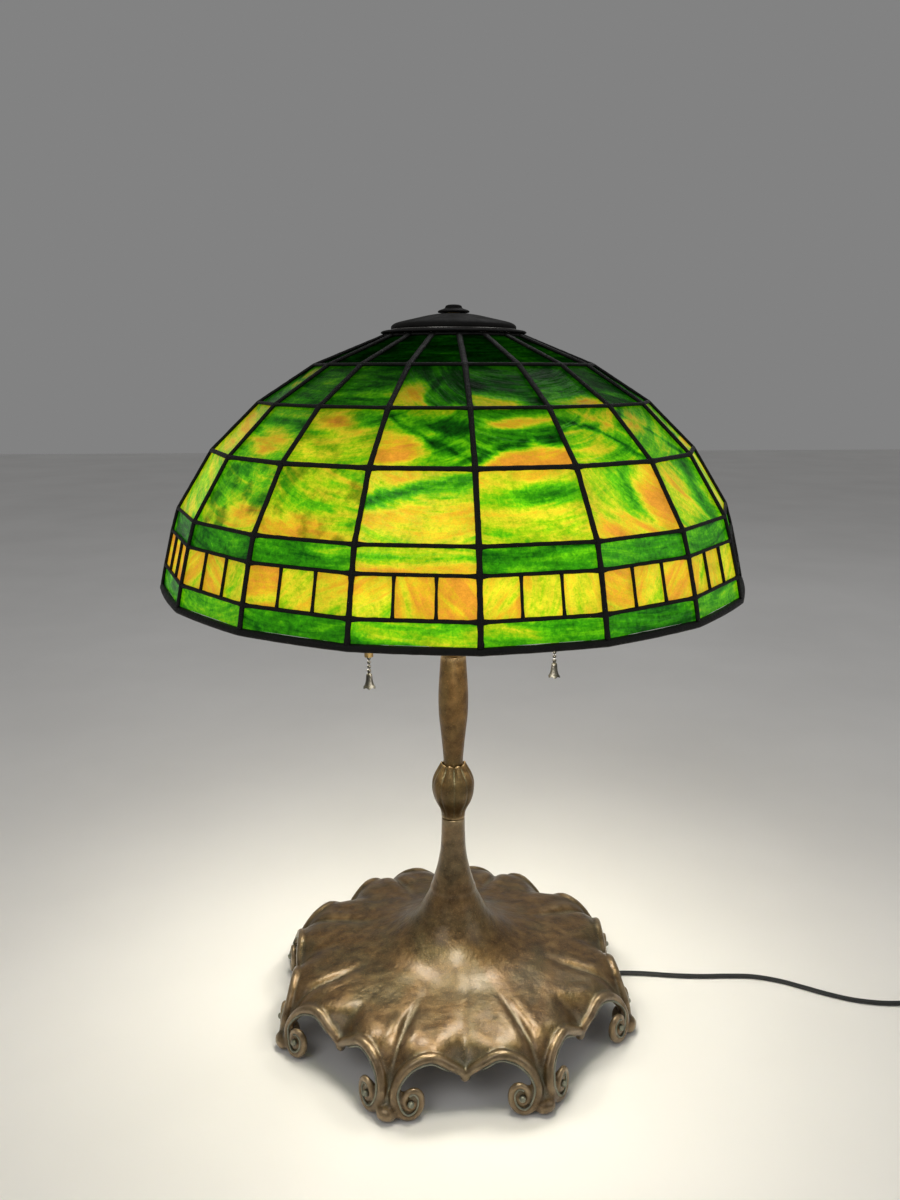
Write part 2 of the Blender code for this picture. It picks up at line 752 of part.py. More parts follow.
def plug():
    """Two-blade plug lying beside the coil, as a loft along -Y: distance, half width, half height, centre z."""
    at = Vector((COIL_AT[0] + COIL_OUT + 3.6, COIL_AT[1] - 1.0, 0))
    stations = [(0, 3.2, 3.2, 3.4), (13, 3.8, 3.6, 3.9), (25, 6.0, 5.0, 5.3), (29, 9.0, 6.0, 6.3), (45, 9.6, 6.2, 6.5),
                (51, 8.6, 5.6, 6.5)]
    sides = 12
    points = []
    rings = []
    for along, wide, high, z in stations:
        rings.append(list(range(len(points), len(points) + sides)))
        for i in range(sides):
            turn = math.tau * (i + 0.5) / sides
            x = math.copysign(abs(math.cos(turn)) ** 0.7, math.cos(turn)) * wide
            up = math.copysign(abs(math.sin(turn)) ** 0.7, math.sin(turn)) * high
            points.append(at + Vector((x, -along, z + up)))
    faces = [tuple(rings[0]), tuple(rings[-1][::-1])]
    for upper, lower in zip(rings, rings[1:]):
        bridge(faces, upper, lower)
    place("plug_body", closed_mesh("plug_body", points, faces), MATERIALS["phenolic"])
    for number, side in enumerate((-1, 1), 1):
        blade = at + Vector((side * 6.35, -(51.3 + 8.5), 6.5))
        matrix = Matrix.Translation(blade * MM) @ Matrix.Diagonal((1.5 * MM, 17 * MM, 6.3 * MM, 1))
        primitive(f"plug_blade_{number}", bmesh.ops.create_cube, matrix, MATERIALS["brass"], None, size=1.0)


plug()
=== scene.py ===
"""Looks of the stained glass table lamp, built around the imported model.

Lengths below are millimetres unless a name says otherwise, and MM turns them into metres. The lamp's
axis is Z and its front is -Y. Angles marked "deg" run from -Y towards +X.
"""

import math
import random
from collections import namedtuple

import bmesh
import bpy
import numpy as np
from mathutils import Matrix, Vector, noise


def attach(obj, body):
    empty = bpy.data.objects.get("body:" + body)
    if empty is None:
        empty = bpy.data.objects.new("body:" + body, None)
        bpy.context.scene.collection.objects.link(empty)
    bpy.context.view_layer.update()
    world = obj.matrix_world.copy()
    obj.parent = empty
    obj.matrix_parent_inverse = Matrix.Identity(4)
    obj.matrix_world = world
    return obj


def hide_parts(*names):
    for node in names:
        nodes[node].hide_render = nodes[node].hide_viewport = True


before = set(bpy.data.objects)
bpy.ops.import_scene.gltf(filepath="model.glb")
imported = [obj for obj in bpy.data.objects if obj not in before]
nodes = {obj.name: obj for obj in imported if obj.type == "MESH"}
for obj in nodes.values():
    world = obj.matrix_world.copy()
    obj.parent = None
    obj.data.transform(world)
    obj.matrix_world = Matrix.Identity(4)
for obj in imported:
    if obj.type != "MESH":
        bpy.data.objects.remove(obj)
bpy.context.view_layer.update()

MM = 0.001

# ---- measures, most of them shared with the CAD -------------------------------------------------
PANELS = 18
PANEL_DEG = 360 / PANELS
FLAT = math.cos(math.radians(PANEL_DEG / 2))
# Corners of the shade's panels where its rows of glass meet, from the top down: radius, height.
RINGS = [(54, 579.3), (107.9, 557.5), (150.6, 530.3), (186.5, 495.6), (213.3, 453), (218.5, 436.3),
         (225.2, 410.3), (228.6, 395.2)]
# Panes of each row in one panel.
TILES = [1, 1, 1, 1, 1, 3, 1]
GLASS_OUT = -1.7
GLASS_IN = -4.7
LAST_ROW = len(TILES) - 1
FEET = 8
SECTOR = 360 / FEET
HALF_BAY = SECTOR / 2
SKIN = 3.0
# How suddenly the skirt drops to its edge: the higher the power, the nearer to the edge.
DROP_POWER = 10.0
DROP_EASE = -4.0
# Edge of the skirt over half a bay, from the cusp to the valley: radius, deg from the cusp, height.
RIM = [(137.6, 0, 33.5), (137.9, 2, 35.2), (138.6, 5.2, 42.2), (140, 10.3, 48.6), (144.5, 16.2, 45.2),
       (149.5, 19.8, 36), (156, 21.4, 17), (158, 22.5, 8)]
# Profile of the skirt's top before its edge drops: radius, height.
TRUMPET = [(25.8, 94.7), (30, 86.5), (36, 78.5), (45, 70.5), (58, 62.8), (75, 57.5), (95, 54.5),
           (115, 52.6), (130, 51.6), (145, 50.4), (170, 49)]
# Centre line of the rolled lip over half a bay, as for the edge.
ROLL = [(137.2, 0, 30), (138.4, 4.8, 38.2), (140, 10.4, 45.3), (144.5, 15.6, 42.6), (149.5, 19, 34.5),
        (154, 20.4, 25)]
ROLL_R = 3.9
EYE = (152.6, 16.2, 16.0)
EYE_TURN = 20.0
FOOT_STEM = [(10.1, 176.6), (10.3, 162.8), (11.2, 145.5), (13, 133.9), (15.3, 124.2), (18.2, 114.4),
             (21.1, 104.6)]
BORE_R = 6.0
LIGHT_DEG = [-53.4, 66.6, 186.6]
ARM_R = 42.0
ARM_Z = 350.0
ARM_TILT = 32.0
CHAIN_R = 86.0
CHAIN_TOP = 352.0
BELL_Z = 313.2
CORD_ROUTE = [
    (0, 0, 84), (0, 0, 70), (0, 0, 56), (0.3, 0.2, 40), (4.5, 0.8, 22), (15.5, 2.5, 8.5), (31, 4.8, 2.8),
    (50, 7.6, 1.6), (75, 11, 1.6), (100, 14, 1.6), (128, 16.5, 1.6), (154, 17, 1.6), (180, 14.6, 1.6),
    (206, 10, 1.6), (232, 6.8, 1.6), (258, 5.6, 1.6), (282, 3, 1.6), (304, -5, 1.6), (322, -15.5, 1.6),
    (340, -26.5, 1.6), (360, -36, 1.6), (383, -41.8, 1.6), (407, -43.4, 1.6), (425, -43.1, 1.6),
]
COIL_AT = (443.0, -82.0)
COIL_IN = 23.0
COIL_OUT = 36.0
TIE_DEG = 200.0
TIE_Z = 6.3
TIE_HALF_WIDE = 7.0
TIE_HALF_HIGH = 5.9
CORD_WIDE = 5.3
CORD_THICK = 2.8


# ---- geometry helpers ---------------------------------------------------------------------------
def polar(radius, deg, z=0.0):
    turn = math.radians(deg)
    return Vector((radius * math.sin(turn), -radius * math.cos(turn), z))


def wobble(x, y=0.0, z=0.0):
    """Smooth noise from -1 to 1."""
    return noise.noise(Vector((x, y, z)))


def ease(low, high, at):
    share = min(1.0, max(0.0, (at - low) / (high - low)))
    return share * share * (3 - 2 * share)


def wave(deg):
    return math.cos(math.radians(deg))


def hump(offset, width):
    """1 at no offset, falling softly to nothing past the width."""
    return math.exp(-(offset / width) ** 2)


def boxy(value, power):
    """A sine or cosine drawn out towards its ends, which squares up a round shape made with it."""
    return math.copysign(abs(value) ** power, value)


def smooth_line(points, step):
    """Vectors of any size about one step apart on a Catmull-Rom curve through the given ones."""
    points = [np.array(p, float) for p in points]
    ends = [2 * points[0] - points[1], *points, 2 * points[-1] - points[-2]]
    fine = []
    for a, b, c, d in zip(ends, ends[1:], ends[2:], ends[3:]):
        for i in range(20):
            t = i / 20
            fine.append(0.5 * (2 * b + (c - a) * t + (2 * a - 5 * b + 4 * c - d) * t * t
                               + (3 * b - a - 3 * c + d) * t ** 3))
    fine.append(points[-1])
    fine = np.array(fine)
    along = np.concatenate([[0.0], np.cumsum(np.linalg.norm(np.diff(fine[:, :3], axis=0), axis=1))])
    want = np.linspace(0, along[-1], max(2, round(along[-1] / step)) + 1)
    return np.stack([np.interp(want, along, fine[:, k]) for k in range(fine.shape[1])], axis=1)


def smooth_table(table, at):
    """Smooth curve through rows of (position, value)."""
    xs = [row[0] for row in table]
    ys = [row[1] for row in table]
    if at <= xs[0]:
        return ys[0] + (at - xs[0]) * (ys[1] - ys[0]) / (xs[1] - xs[0])
    for i in range(len(xs) - 1):
        if at <= xs[i + 1] or i == len(xs) - 2:
            break
    wide = xs[i + 1] - xs[i]

    def slope(k):
        if k == 0 or k == len(xs) - 1:
            a, b = (0, 1) if k == 0 else (len(xs) - 2, len(xs) - 1)
            return (ys[b] - ys[a]) / (xs[b] - xs[a])
        return (ys[k + 1] - ys[k - 1]) / (xs[k + 1] - xs[k - 1])

    t = (at - xs[i]) / wide
    return ((2 * t ** 3 - 3 * t * t + 1) * ys[i] + (t ** 3 - 2 * t * t + t) * wide * slope(i)
            + (3 * t * t - 2 * t ** 3) * ys[i + 1] + (t ** 3 - t * t) * wide * slope(i + 1))


class Build:
    """Points and faces of one piece, gathered loft by loft."""

    def __init__(self):
        self.points = []
        self.faces = []

    def loft(self, rings, cap=True, loop=False):
        start = len(self.points)
        size = len(rings[0])
        for ring in rings:
            self.points.extend(Vector(p[:3]) for p in ring)
        count = len(rings)
        for i in range(count if loop else count - 1):
            a = start + i * size
            b = start + (i + 1) % count * size
            for j in range(size):
                k = (j + 1) % size
                self.faces.append((a + j, b + j, b + k, a + k))
        if cap and not loop:
            self.faces.append(tuple(range(start, start + size)))
            self.faces.append(tuple(range(start + (count - 1) * size, start + count * size))[::-1])

    def ball(self, at, sizes, turn=None, sides=14, power=1.0):
        """A closed ball or rounded box; sizes are half lengths, power under 1 makes it boxier."""
        rings = []
        levels = sides // 2 + 1
        for i in range(1, levels):
            up = -math.cos(math.pi * i / levels)
            across = math.sin(math.pi * i / levels)
            ring = []
            for j in range(sides):
                a = math.tau * j / sides
                p = (across * math.cos(a), across * math.sin(a), up)
                local = Vector([boxy(c, power) * size for c, size in zip(p, sizes)])
                ring.append(Vector(at) + (turn @ local if turn else local))
            rings.append(ring)
        self.loft(rings)

    def tube(self, line, radii, sides):
        """A round tube along points."""
        side = None
        rings = []
        for i, p in enumerate(line):
            along = (line[min(i + 1, len(line) - 1)] - line[max(i - 1, 0)]).normalized()
            if side is None:
                side = along.orthogonal().normalized()
            side = (side - along * side.dot(along)).normalized()
            other = along.cross(side)
            turns = [math.tau * j / sides for j in range(sides)]
            rings.append([p + (side * math.cos(a) + other * math.sin(a)) * radii[i] for a in turns])
        self.loft(rings)

    def turn(self, profile, sides, loop=False, at=(0, 0, 0), shape=None):
        """A body of revolution. profile is (radius, height); shape may change a point by its angle."""
        rings = []
        for r, z in profile:
            ring = []
            for j in range(sides):
                deg = 360 * j / sides
                radius, height = shape(r, z, deg) if shape else (r, z)
                ring.append(Vector(at) + polar(max(radius, 0.0), deg, height))
            rings.append(ring)
        self.loft(rings, cap=False, loop=loop)

    def mesh(self, name, merge=False):
        """A plain mesh of what was built, with its faces turned out."""
        mesh = bpy.data.meshes.new(name)
        mesh.from_pydata([tuple(p * MM) for p in self.points], [], self.faces)
        work = bmesh.new()
        work.from_mesh(mesh)
        if merge:
            bmesh.ops.remove_doubles(work, verts=work.verts, dist=1e-6)
            bmesh.ops.dissolve_degenerate(work, edges=work.edges, dist=1e-7)
        bmesh.ops.recalc_face_normals(work, faces=work.faces)
        work.to_mesh(mesh)
        work.free()
        return mesh

    def piece(self, name, mat, body, *replaced, slot=None, matrix=None, sharp=None, merge=True):
        mesh = self.mesh(name, merge)
        if matrix is not None:
            mesh.transform(matrix)
        return finish_piece(name, mesh, mat, body, replaced, sharp)


def add_object(name, data):
    obj = bpy.data.objects.new(name, data)
    bpy.context.scene.collection.objects.link(obj)
    return obj


def finish_piece(name, mesh, mat, body, replaced, sharp=None):
    obj = add_object(name, mesh)
    mesh.materials.append(mat)
    mesh.shade_smooth()
    if sharp:
        mesh.set_sharp_from_angle(angle=math.radians(sharp))
    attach(obj, body)
    if replaced:
        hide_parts(*replaced)
    return obj


def set_attribute(mesh, name, kind, values):
    made = mesh.attributes.new(name, kind, "POINT")
    made.data.foreach_set("vector" if kind == "FLOAT_VECTOR" else "value",
                          np.asarray(values, np.float32).reshape(-1))


# ---- camera -------------------------------------------------------------------------------------
CAMERA_AT = (-0.0527, -0.7496, 0.5514)  # metres
CAMERA_DOWN = 13.61
CAMERA_RIGHT = 3.81
LENS = 28.23

camera = add_object("camera", bpy.data.cameras.new("camera"))
camera.location = CAMERA_AT
camera.rotation_euler = (math.radians(90 - CAMERA_DOWN), 0, math.radians(-CAMERA_RIGHT))
camera.data.lens = LENS
camera.data.sensor_width = 36
camera.data.clip_start = 0.01
bpy.context.scene.camera = camera


# ---- material helpers ---------------------------------------------------------------------------
class Look:
    """A node material, with short calls for the nodes it uses."""

    def __init__(self, name, metallic=0.0, roughness=0.5, **sockets):
        self.mat = bpy.data.materials.new(name)
        self.mat.use_nodes = True
        self.tree = self.mat.node_tree
        self.shader = self.tree.nodes["Principled BSDF"]
        self.shader.inputs["Metallic"].default_value = metallic
        self.shader.inputs["Roughness"].default_value = roughness
        for key, value in sockets.items():
            self.shader.inputs[key.replace("_", " ")].default_value = value
        self.where = self.tree.nodes.new("ShaderNodeTexCoord").outputs["Object"]

    def put(self, socket, value):
        if isinstance(value, bpy.types.NodeSocket):
            self.tree.links.new(value, socket)
        elif isinstance(value, tuple) and len(value) == 3 and socket.type == "RGBA":
            socket.default_value = (*value, 1.0)
        else:
            socket.default_value = value

    def add(self, kind, inputs, **settings):
        made = self.tree.nodes.new(kind)
        for key, value in settings.items():
            setattr(made, key, value)
        for key, value in inputs.items():
            self.put(made.inputs[key], value)
        return made

    def noise(self, scale, detail, roughness=0.55, distortion=0.0, where=None):
        return self.add("ShaderNodeTexNoise", {
            "Vector": where or self.where, "Scale": scale, "Detail": detail, "Roughness": roughness,
            "Distortion": distortion,
        }).outputs["Fac"]

    def stretched(self, scale, where):
        return self.add("ShaderNodeMapping", {"Vector": where, "Scale": scale}).outputs["Vector"]

    def cells(self, scale, smooth):
        return self.add("ShaderNodeTexVoronoi", {
            "Vector": self.where, "Scale": scale, "Smoothness": smooth,
        }, feature="SMOOTH_F1").outputs["Distance"]

    def maths(self, operation, a, b=0.0, clamp=False):
        made = self.add("ShaderNodeMath", {0: a, 1: b}, operation=operation)
        made.use_clamp = clamp
        return made.outputs[0]

    def spread(self, value, low, high, to_low=0.0, to_high=1.0):
        return self.add("ShaderNodeMapRange", {
            "Value": value, "From Min": low, "From Max": high, "To Min": to_low, "To Max": to_high,
        }).outputs["Result"]

    def ramp(self, value, *stops):
        made = self.add("ShaderNodeValToRGB", {"Fac": value})
        ramp = made.color_ramp
        while len(ramp.elements) < len(stops):
            ramp.elements.new(1.0)
        for element, (at, color) in zip(ramp.elements, stops):
            element.position = at
            element.color = (*color, 1.0)
        return made.outputs["Color"]

    def mix(self, share, a, b, blend="MIX"):
        made = self.add("ShaderNodeMix", {0: share, 6: a, 7: b}, data_type="RGBA", blend_type=blend)
        return made.outputs[2]

    def mark(self, name):
        return self.add("ShaderNodeAttribute", {}, attribute_name=name)

    def bump(self, *layers):
        """Layers are (height socket, distance in metres), the broadest first."""
        normal = None
        for height, distance in layers:
            inputs = {"Height": height, "Distance": distance, "Strength": 1.0}
            if normal is not None:
                inputs["Normal"] = normal
            normal = self.add("ShaderNodeBump", inputs).outputs["Normal"]
        self.put(self.shader.inputs["Normal"], normal)

    def finish(self, color, roughness=None):
        self.put(self.shader.inputs["Base Color"], color)
        if roughness is not None:
            self.put(self.shader.inputs["Roughness"], roughness)
        return self.mat


def bronze_look(name, coat, tint):
    """Patinated bronze. Its pieces carry crease and wear attributes for their hollows and edges."""
    look = Look(name, metallic=0.62, roughness=0.42, Coat_Weight=coat, Coat_Roughness=0.25, Coat_IOR=1.5)
    broad = look.noise(26, 4, 0.55, 0.6)
    patch = look.noise(95, 6, 0.62, 0.3)
    grain = look.noise(900, 3, 0.6)
    brown = look.ramp(patch, (0.30, (0.050, 0.028, 0.009)), (0.50, (0.102, 0.060, 0.021)),
                      (0.70, (0.16, 0.100, 0.040)))
    olive = look.ramp(patch, (0.32, (0.046, 0.033, 0.013)), (0.66, (0.112, 0.086, 0.040)))
    color = look.mix(look.spread(broad, 0.42, 0.62), brown, olive)
    gold = look.spread(grain, 0.55, 0.72, 0.0, 0.38)
    color = look.mix(gold, color, (0.36, 0.215, 0.075))
    pores = look.spread(look.noise(1500, 2, 0.5), 0.55, 0.75, 0.0, 0.35)
    color = look.mix(pores, color, (0.02, 0.014, 0.009))
    rough = look.spread(patch, 0.3, 0.7, 0.30, 0.46)
    crease = look.mark("crease").outputs["Fac"]
    wear = look.mark("wear").outputs["Fac"]
    green = look.maths("MULTIPLY", crease, look.spread(patch, 0.28, 0.55, 0.35, 1.0), clamp=True)
    verdigris = look.ramp(grain, (0.35, (0.105, 0.112, 0.092)), (0.65, (0.20, 0.21, 0.178)))
    color = look.mix(green, color, verdigris)
    shine = look.maths("MULTIPLY", wear, look.spread(patch, 0.3, 0.6, 0.3, 1.0), clamp=True)
    color = look.mix(shine, color, (0.34, 0.27, 0.19))
    rough = look.maths("ADD", rough, look.maths("MULTIPLY", green, 0.12))
    rough = look.maths("SUBTRACT", rough, look.maths("MULTIPLY", shine, 0.12))
    color = look.mix(1.0, color, tint, "MULTIPLY")
    look.bump((look.noise(40, 3, 0.5, 0.4), 0.0014), (look.noise(170, 4, 0.6), 0.00045),
              (look.noise(520, 2, 0.5), 0.00012), (grain, 0.00006))
    return look.finish(color, rough)


def metal_look(name, dark, light, metallic, rough, scale, bump=0.00006, ior=1.5):
    """Fine-grained metal, lacquer, plastic or rubber between two colours."""
    look = Look(name, metallic=metallic, IOR=ior)
    patch = look.noise(scale, 5, 0.6, 0.4)
    grain = look.noise(scale * 14, 3, 0.6)
    color = look.ramp(patch, (0.3, dark), (0.7, light))
    color = look.mix(look.spread(grain, 0.55, 0.75, 0.0, 0.4), color, dark)
    look.bump((look.noise(scale * 3, 3, 0.5), bump * 2), (grain, bump))
    return look.finish(color, look.spread(patch, 0.3, 0.7, *rough))


def glass_look(name, gloss):
    """Streaky art glass lit from behind. flow, tone, glow and mottle are painted on each pane's mesh."""
    look = Look(name, roughness=0.24, Emission_Strength=1.0, IOR=1.3, Specular_IOR_Level=gloss)
    flow = look.mark("flow").outputs["Vector"]
    tone = look.mark("tone").outputs["Fac"]
    glow = look.mark("glow").outputs["Fac"]
    mottle = look.mark("mottle").outputs["Fac"]
    streak = look.noise(1.0, 4, 0.5, 0.9, flow)
    fine = look.noise(1.0, 5, 0.65, 0.6, look.stretched((1.6, 4.2, 1.0), flow))
    value = look.maths("ADD", tone, look.spread(streak, 0.25, 0.75, -0.22, 0.22))
    value = look.maths("ADD", value, look.spread(fine, 0.25, 0.75, -0.09, 0.09))
    hammer = look.noise(330, 4, 0.66, 0.5)
    value = look.maths("ADD", value, look.spread(hammer, 0.3, 0.7, -0.065, 0.065))
    color = look.ramp(
        look.maths("ADD", value, 0.0, clamp=True),
        (0.00, (0.0015, 0.030, 0.001)), (0.20, (0.006, 0.115, 0.0015)), (0.38, (0.040, 0.34, 0.002)),
        (0.52, (0.15, 0.63, 0.003)), (0.64, (0.46, 0.73, 0.006)), (0.76, (0.86, 0.78, 0.022)),
        (0.88, (0.93, 0.56, 0.018)), (1.00, (0.88, 0.37, 0.028)),
    )
    ragged = look.spread(look.noise(120, 3, 0.6), 0.3, 0.7, -0.16, 0.16)
    spots = look.maths("ADD", look.cells(66, 0.9), ragged)
    spots = look.maths("SUBTRACT", 1.0, look.spread(spots, 0.22, 0.48), clamp=True)
    spots = look.maths("MULTIPLY", spots, mottle, clamp=True)
    color = look.mix(spots, color, look.mix(1.0, color, (0.24, 0.36, 0.10), "MULTIPLY"))
    grain = look.noise(1100, 2, 0.6)
    cloud = look.noise(52, 5, 0.62, 0.5)
    bright = look.maths("MULTIPLY", glow, look.spread(cloud, 0.28, 0.72, 0.74, 1.16))
    bright = look.maths("MULTIPLY", bright, look.spread(grain, 0.3, 0.7, 0.86, 1.10))
    bright = look.maths("MULTIPLY", bright, look.spread(hammer, 0.3, 0.7, 0.84, 1.12))
    lit = look.mix(1.0, color, bright, "MULTIPLY")
    look.put(look.shader.inputs["Emission Color"], lit)
    look.bump((look.noise(1.0, 4, 0.6, 0.8, look.stretched((1.0, 2.2, 1.0), flow)), 0.0009),
              (look.noise(260, 3, 0.6), 0.00016))
    return look.finish(look.mix(0.90, color, (0.0, 0.0, 0.0)), look.spread(cloud, 0.3, 0.7, 0.16, 0.32))


def bulb_look(name):
    look = Look(name, roughness=0.35, Emission_Strength=1.0)
    frost = look.noise(300, 3, 0.5)
    look.put(look.shader.inputs["Emission Color"],
             look.ramp(look.noise(30, 2, 0.5), (0.3, (2.6, 2.1, 1.35)), (0.7, (3.4, 2.9, 2.1))))
    look.bump((frost, 0.00003))
    return look.finish(look.ramp(frost, (0.3, (0.80, 0.76, 0.66)), (0.7, (0.92, 0.89, 0.80))))


BRONZE = bronze_look("bronze_cast", 0.42, (1.0, 0.92, 0.76))
BRONZE_STEM = bronze_look("bronze_stem", 0.1, (0.92, 0.80, 0.56))
BRONZE_BEAD = metal_look("bronze_bead", (0.13, 0.135, 0.10), (0.34, 0.34, 0.26), 0.6, (0.36, 0.52), 160,
                         0.00008)
LEAD = metal_look("lead_came", (0.003, 0.003, 0.0025), (0.011, 0.0105, 0.009), 0.1, (0.40, 0.62), 120,
                  0.00035, 1.3)
CAP_BLACK = metal_look("cap_black", (0.004, 0.0038, 0.0035), (0.011, 0.010, 0.009), 0.0, (0.55, 0.75), 70,
                       0.00012, 1.22)
RIM_METAL = metal_look("rim_metal", (0.32, 0.31, 0.29), (0.62, 0.60, 0.56), 1.0, (0.2, 0.35), 90, 0.00003)
STEEL = metal_look("steel", (0.30, 0.30, 0.29), (0.52, 0.52, 0.50), 1.0, (0.25, 0.42), 80)
BRASS = metal_look("brass", (0.22, 0.14, 0.05), (0.48, 0.34, 0.14), 1.0, (0.28, 0.45), 70)
PEWTER = metal_look("pewter", (0.035, 0.033, 0.03), (0.13, 0.125, 0.11), 0.85, (0.3, 0.5), 400, 0.0001)
PHENOLIC = metal_look("phenolic", (0.014, 0.011, 0.009), (0.028, 0.022, 0.018), 0.0, (0.35, 0.5), 120,
                      0.00004)
CORD_BLACK = metal_look("cord_black", (0.006, 0.006, 0.006), (0.016, 0.016, 0.015), 0.0, (0.36, 0.5), 200,
                        0.00005)
GLASS_GLOSS = [0.0, 0.05, 0.15, 0.3, 0.35, 0.35, 0.35]
GLASS = [glass_look(f"glass_{row + 1}", gloss) for row, gloss in enumerate(GLASS_GLOSS)]
BULB = bulb_look("bulb")


# ---- cord, coil and plug ------------------------------------------------------------------------
COIL_STEPS = [  # turns from the coil's north side, radius, height
    (0, 39.4, 1.6), (0.25, 33.2, 1.6), (1.06, 32.7, 1.6), (1.24, 26.9, 1.6), (1.86, 26.9, 1.6),
    (2.06, 26.9, 4.5), (2.66, 26.9, 4.5), (2.86, 32.7, 4.5), (3.46, 32.7, 4.5), (3.66, 32.7, 7.4),
    (4.26, 32.7, 7.4), (4.46, 26.9, 7.4), (5.06, 26.9, 7.4), (5.26, 26.9, 10.3), (5.60, 26.9, 10.3),
    (5.88, 32.7, 10.3), (5.98, 33.6, 10.3), (6.25, 39.6, 3.6),
]


def coil_point(turns):
    for (t0, r0, z0), (t1, r1, z1) in zip(COIL_STEPS, COIL_STEPS[1:]):
        if turns <= t1:
            break
    share = ease(t0, t1, turns)
    radius = r0 + (r1 - r0) * share
    angle = math.pi / 2 - math.tau * turns
    x, y = COIL_AT[0] + radius * math.cos(angle), COIL_AT[1] + radius * math.sin(angle)
    return Vector((x, y, z0 + (z1 - z0) * share))


cord_points = [Vector(p) for p in CORD_ROUTE]
cord_points += [coil_point(i / 20) for i in range(0, 126)]
cord_points += [Vector((482.6, -88.0, 3.5))]


def flat_cord(build, line):
    """A twin-lobed flat flex along the points."""
    across = Vector((0.15, -0.99, 0))
    rings = []
    for i, p in enumerate(line):
        along = Vector(line[min(i + 1, len(line) - 1)] - line[max(i - 1, 0)]).normalized()
        level = Vector((along.y, -along.x, 0))
        if level.length > 0.5:
            across = level
        across = (across - along * across.dot(along)).normalized()
        up = across.cross(along).normalized()
        ring = []
        for j in range(20):
            a = math.tau * j / 20
            side = math.cos(a)
            lobe = CORD_THICK / 2 * (0.80 + 0.28 * abs(side) ** 1.3)
            ring.append(Vector(p) + across * side * CORD_WIDE / 2 + up * boxy(math.sin(a), 0.75) * lobe)
        rings.append(ring)
    build.loft(rings)


build = Build()
flat_cord(build, smooth_line(cord_points, 3.2))
cord = build.piece("mains_flex", CORD_BLACK, "stand", "mains_cord", "cord_coil", slot="cord_black")

build = Build()
tie_mid = Vector((*COIL_AT, 0)) + polar((COIL_IN + COIL_OUT) / 2, TIE_DEG, TIE_Z)
tie_out = polar(1, TIE_DEG)
tie_side = polar(1, TIE_DEG + 90)
loops = []
for k in range(48):
    a = math.tau * k / 48
    inner = Vector((boxy(math.cos(a), 0.45) * TIE_HALF_WIDE, boxy(math.sin(a), 0.45) * TIE_HALF_HIGH))
    out = Vector((math.cos(a), math.sin(a)))
    ring = []
    for wide, thick in ((-3.0, 0.1), (-2.9, 0.33), (0.0, 0.4), (2.9, 0.33), (3.0, 0.1), (0.0, 0.0)):
        at = inner + out * thick
        ring.append(tie_mid + tie_out * at.x + Vector((0, 0, at.y)) + tie_side * wide)
    loops.append(ring)
build.loft(loops, loop=True)
tie = build.piece("flex_tie", PHENOLIC, "stand", "cord_tie", slot="phenolic", sharp=40)

# Along the plug from its cord end: distance, half width, half height, height of the middle.
PLUG = [(0, 3, 2.2, 3.4), (1.2, 3.4, 3, 3.4), (5, 3.4, 3.1, 3.5), (6, 2.9, 2.7, 3.6), (8, 3.5, 3.3, 3.7),
        (12, 3.7, 3.5, 3.9), (13, 3.1, 3, 4), (15, 3.9, 3.7, 4.1), (19, 4.4, 4.2, 4.5),
        (20, 3.7, 3.6, 4.7), (22, 4.8, 4.5, 4.8), (25, 6, 5, 5.3), (28, 8.2, 5.7, 6.1),
        (31, 9.2, 6, 6.3), (38, 9.5, 6.2, 6.5), (45, 9.6, 6.2, 6.5), (49, 9.3, 6, 6.5), (51, 8.4, 5.2, 6.5)]
build = Build()
rings = []
plug_x = COIL_AT[0] + COIL_OUT + 3.6
for along, wide, high, z in PLUG:
    turns = [math.tau * (j + 0.5) / 28 for j in range(28)]
    rings.append([Vector((plug_x + boxy(math.cos(a), 0.65) * wide, COIL_AT[1] - 1 - along,
                          z + boxy(math.sin(a), 0.65) * high)) for a in turns])
build.loft(rings)
plug = build.piece("flex_plug", PHENOLIC, "stand", "plug_body", slot="phenolic", sharp=50)


# ---- shade: shared lines ------------------------------------------------------------------------
def offset_rings(depth):
    """RINGS moved along the outward normal of the panels, as apothem and height."""
    line = [Vector((r * FLAT, z)) for r, z in RINGS]
    normals = [row_normal(i) for i in range(len(line) - 1)]
    moved = []
    for i, point in enumerate(line):
        before = normals[max(0, i - 1)]
        after = normals[min(len(normals) - 1, i)]
        middle = (before + after).normalized()
        moved.append(point + middle * (depth / middle.dot(after)))
    return moved


def row_normal(row):
    """Outward normal of a row of glass, as outwards and up."""
    a = Vector((RINGS[row][0] * FLAT, RINGS[row][1]))
    b = Vector((RINGS[row + 1][0] * FLAT, RINGS[row + 1][1]))
    along = (b - a).normalized()
    return Vector((-along.y, along.x))


def lifted(normal, deg):
    """A normal given as outwards and up, at an angle round the shade."""
    return polar(normal.x, deg, normal.y).normalized()


# ---- glass --------------------------------------------------------------------------------------
# The look of a pane: tone from green at 0 to amber at 1, the angle and bend of its streaks, its mottling,
# then patches (across, down, half width, half height, turn, amount, softness) and strokes (three points
# across and down, width, amount). Across and down run from 0 to 1 over the pane.
Pane = namedtuple("Pane", "tone streak bend mottle patches strokes", defaults=(0, (), ()))
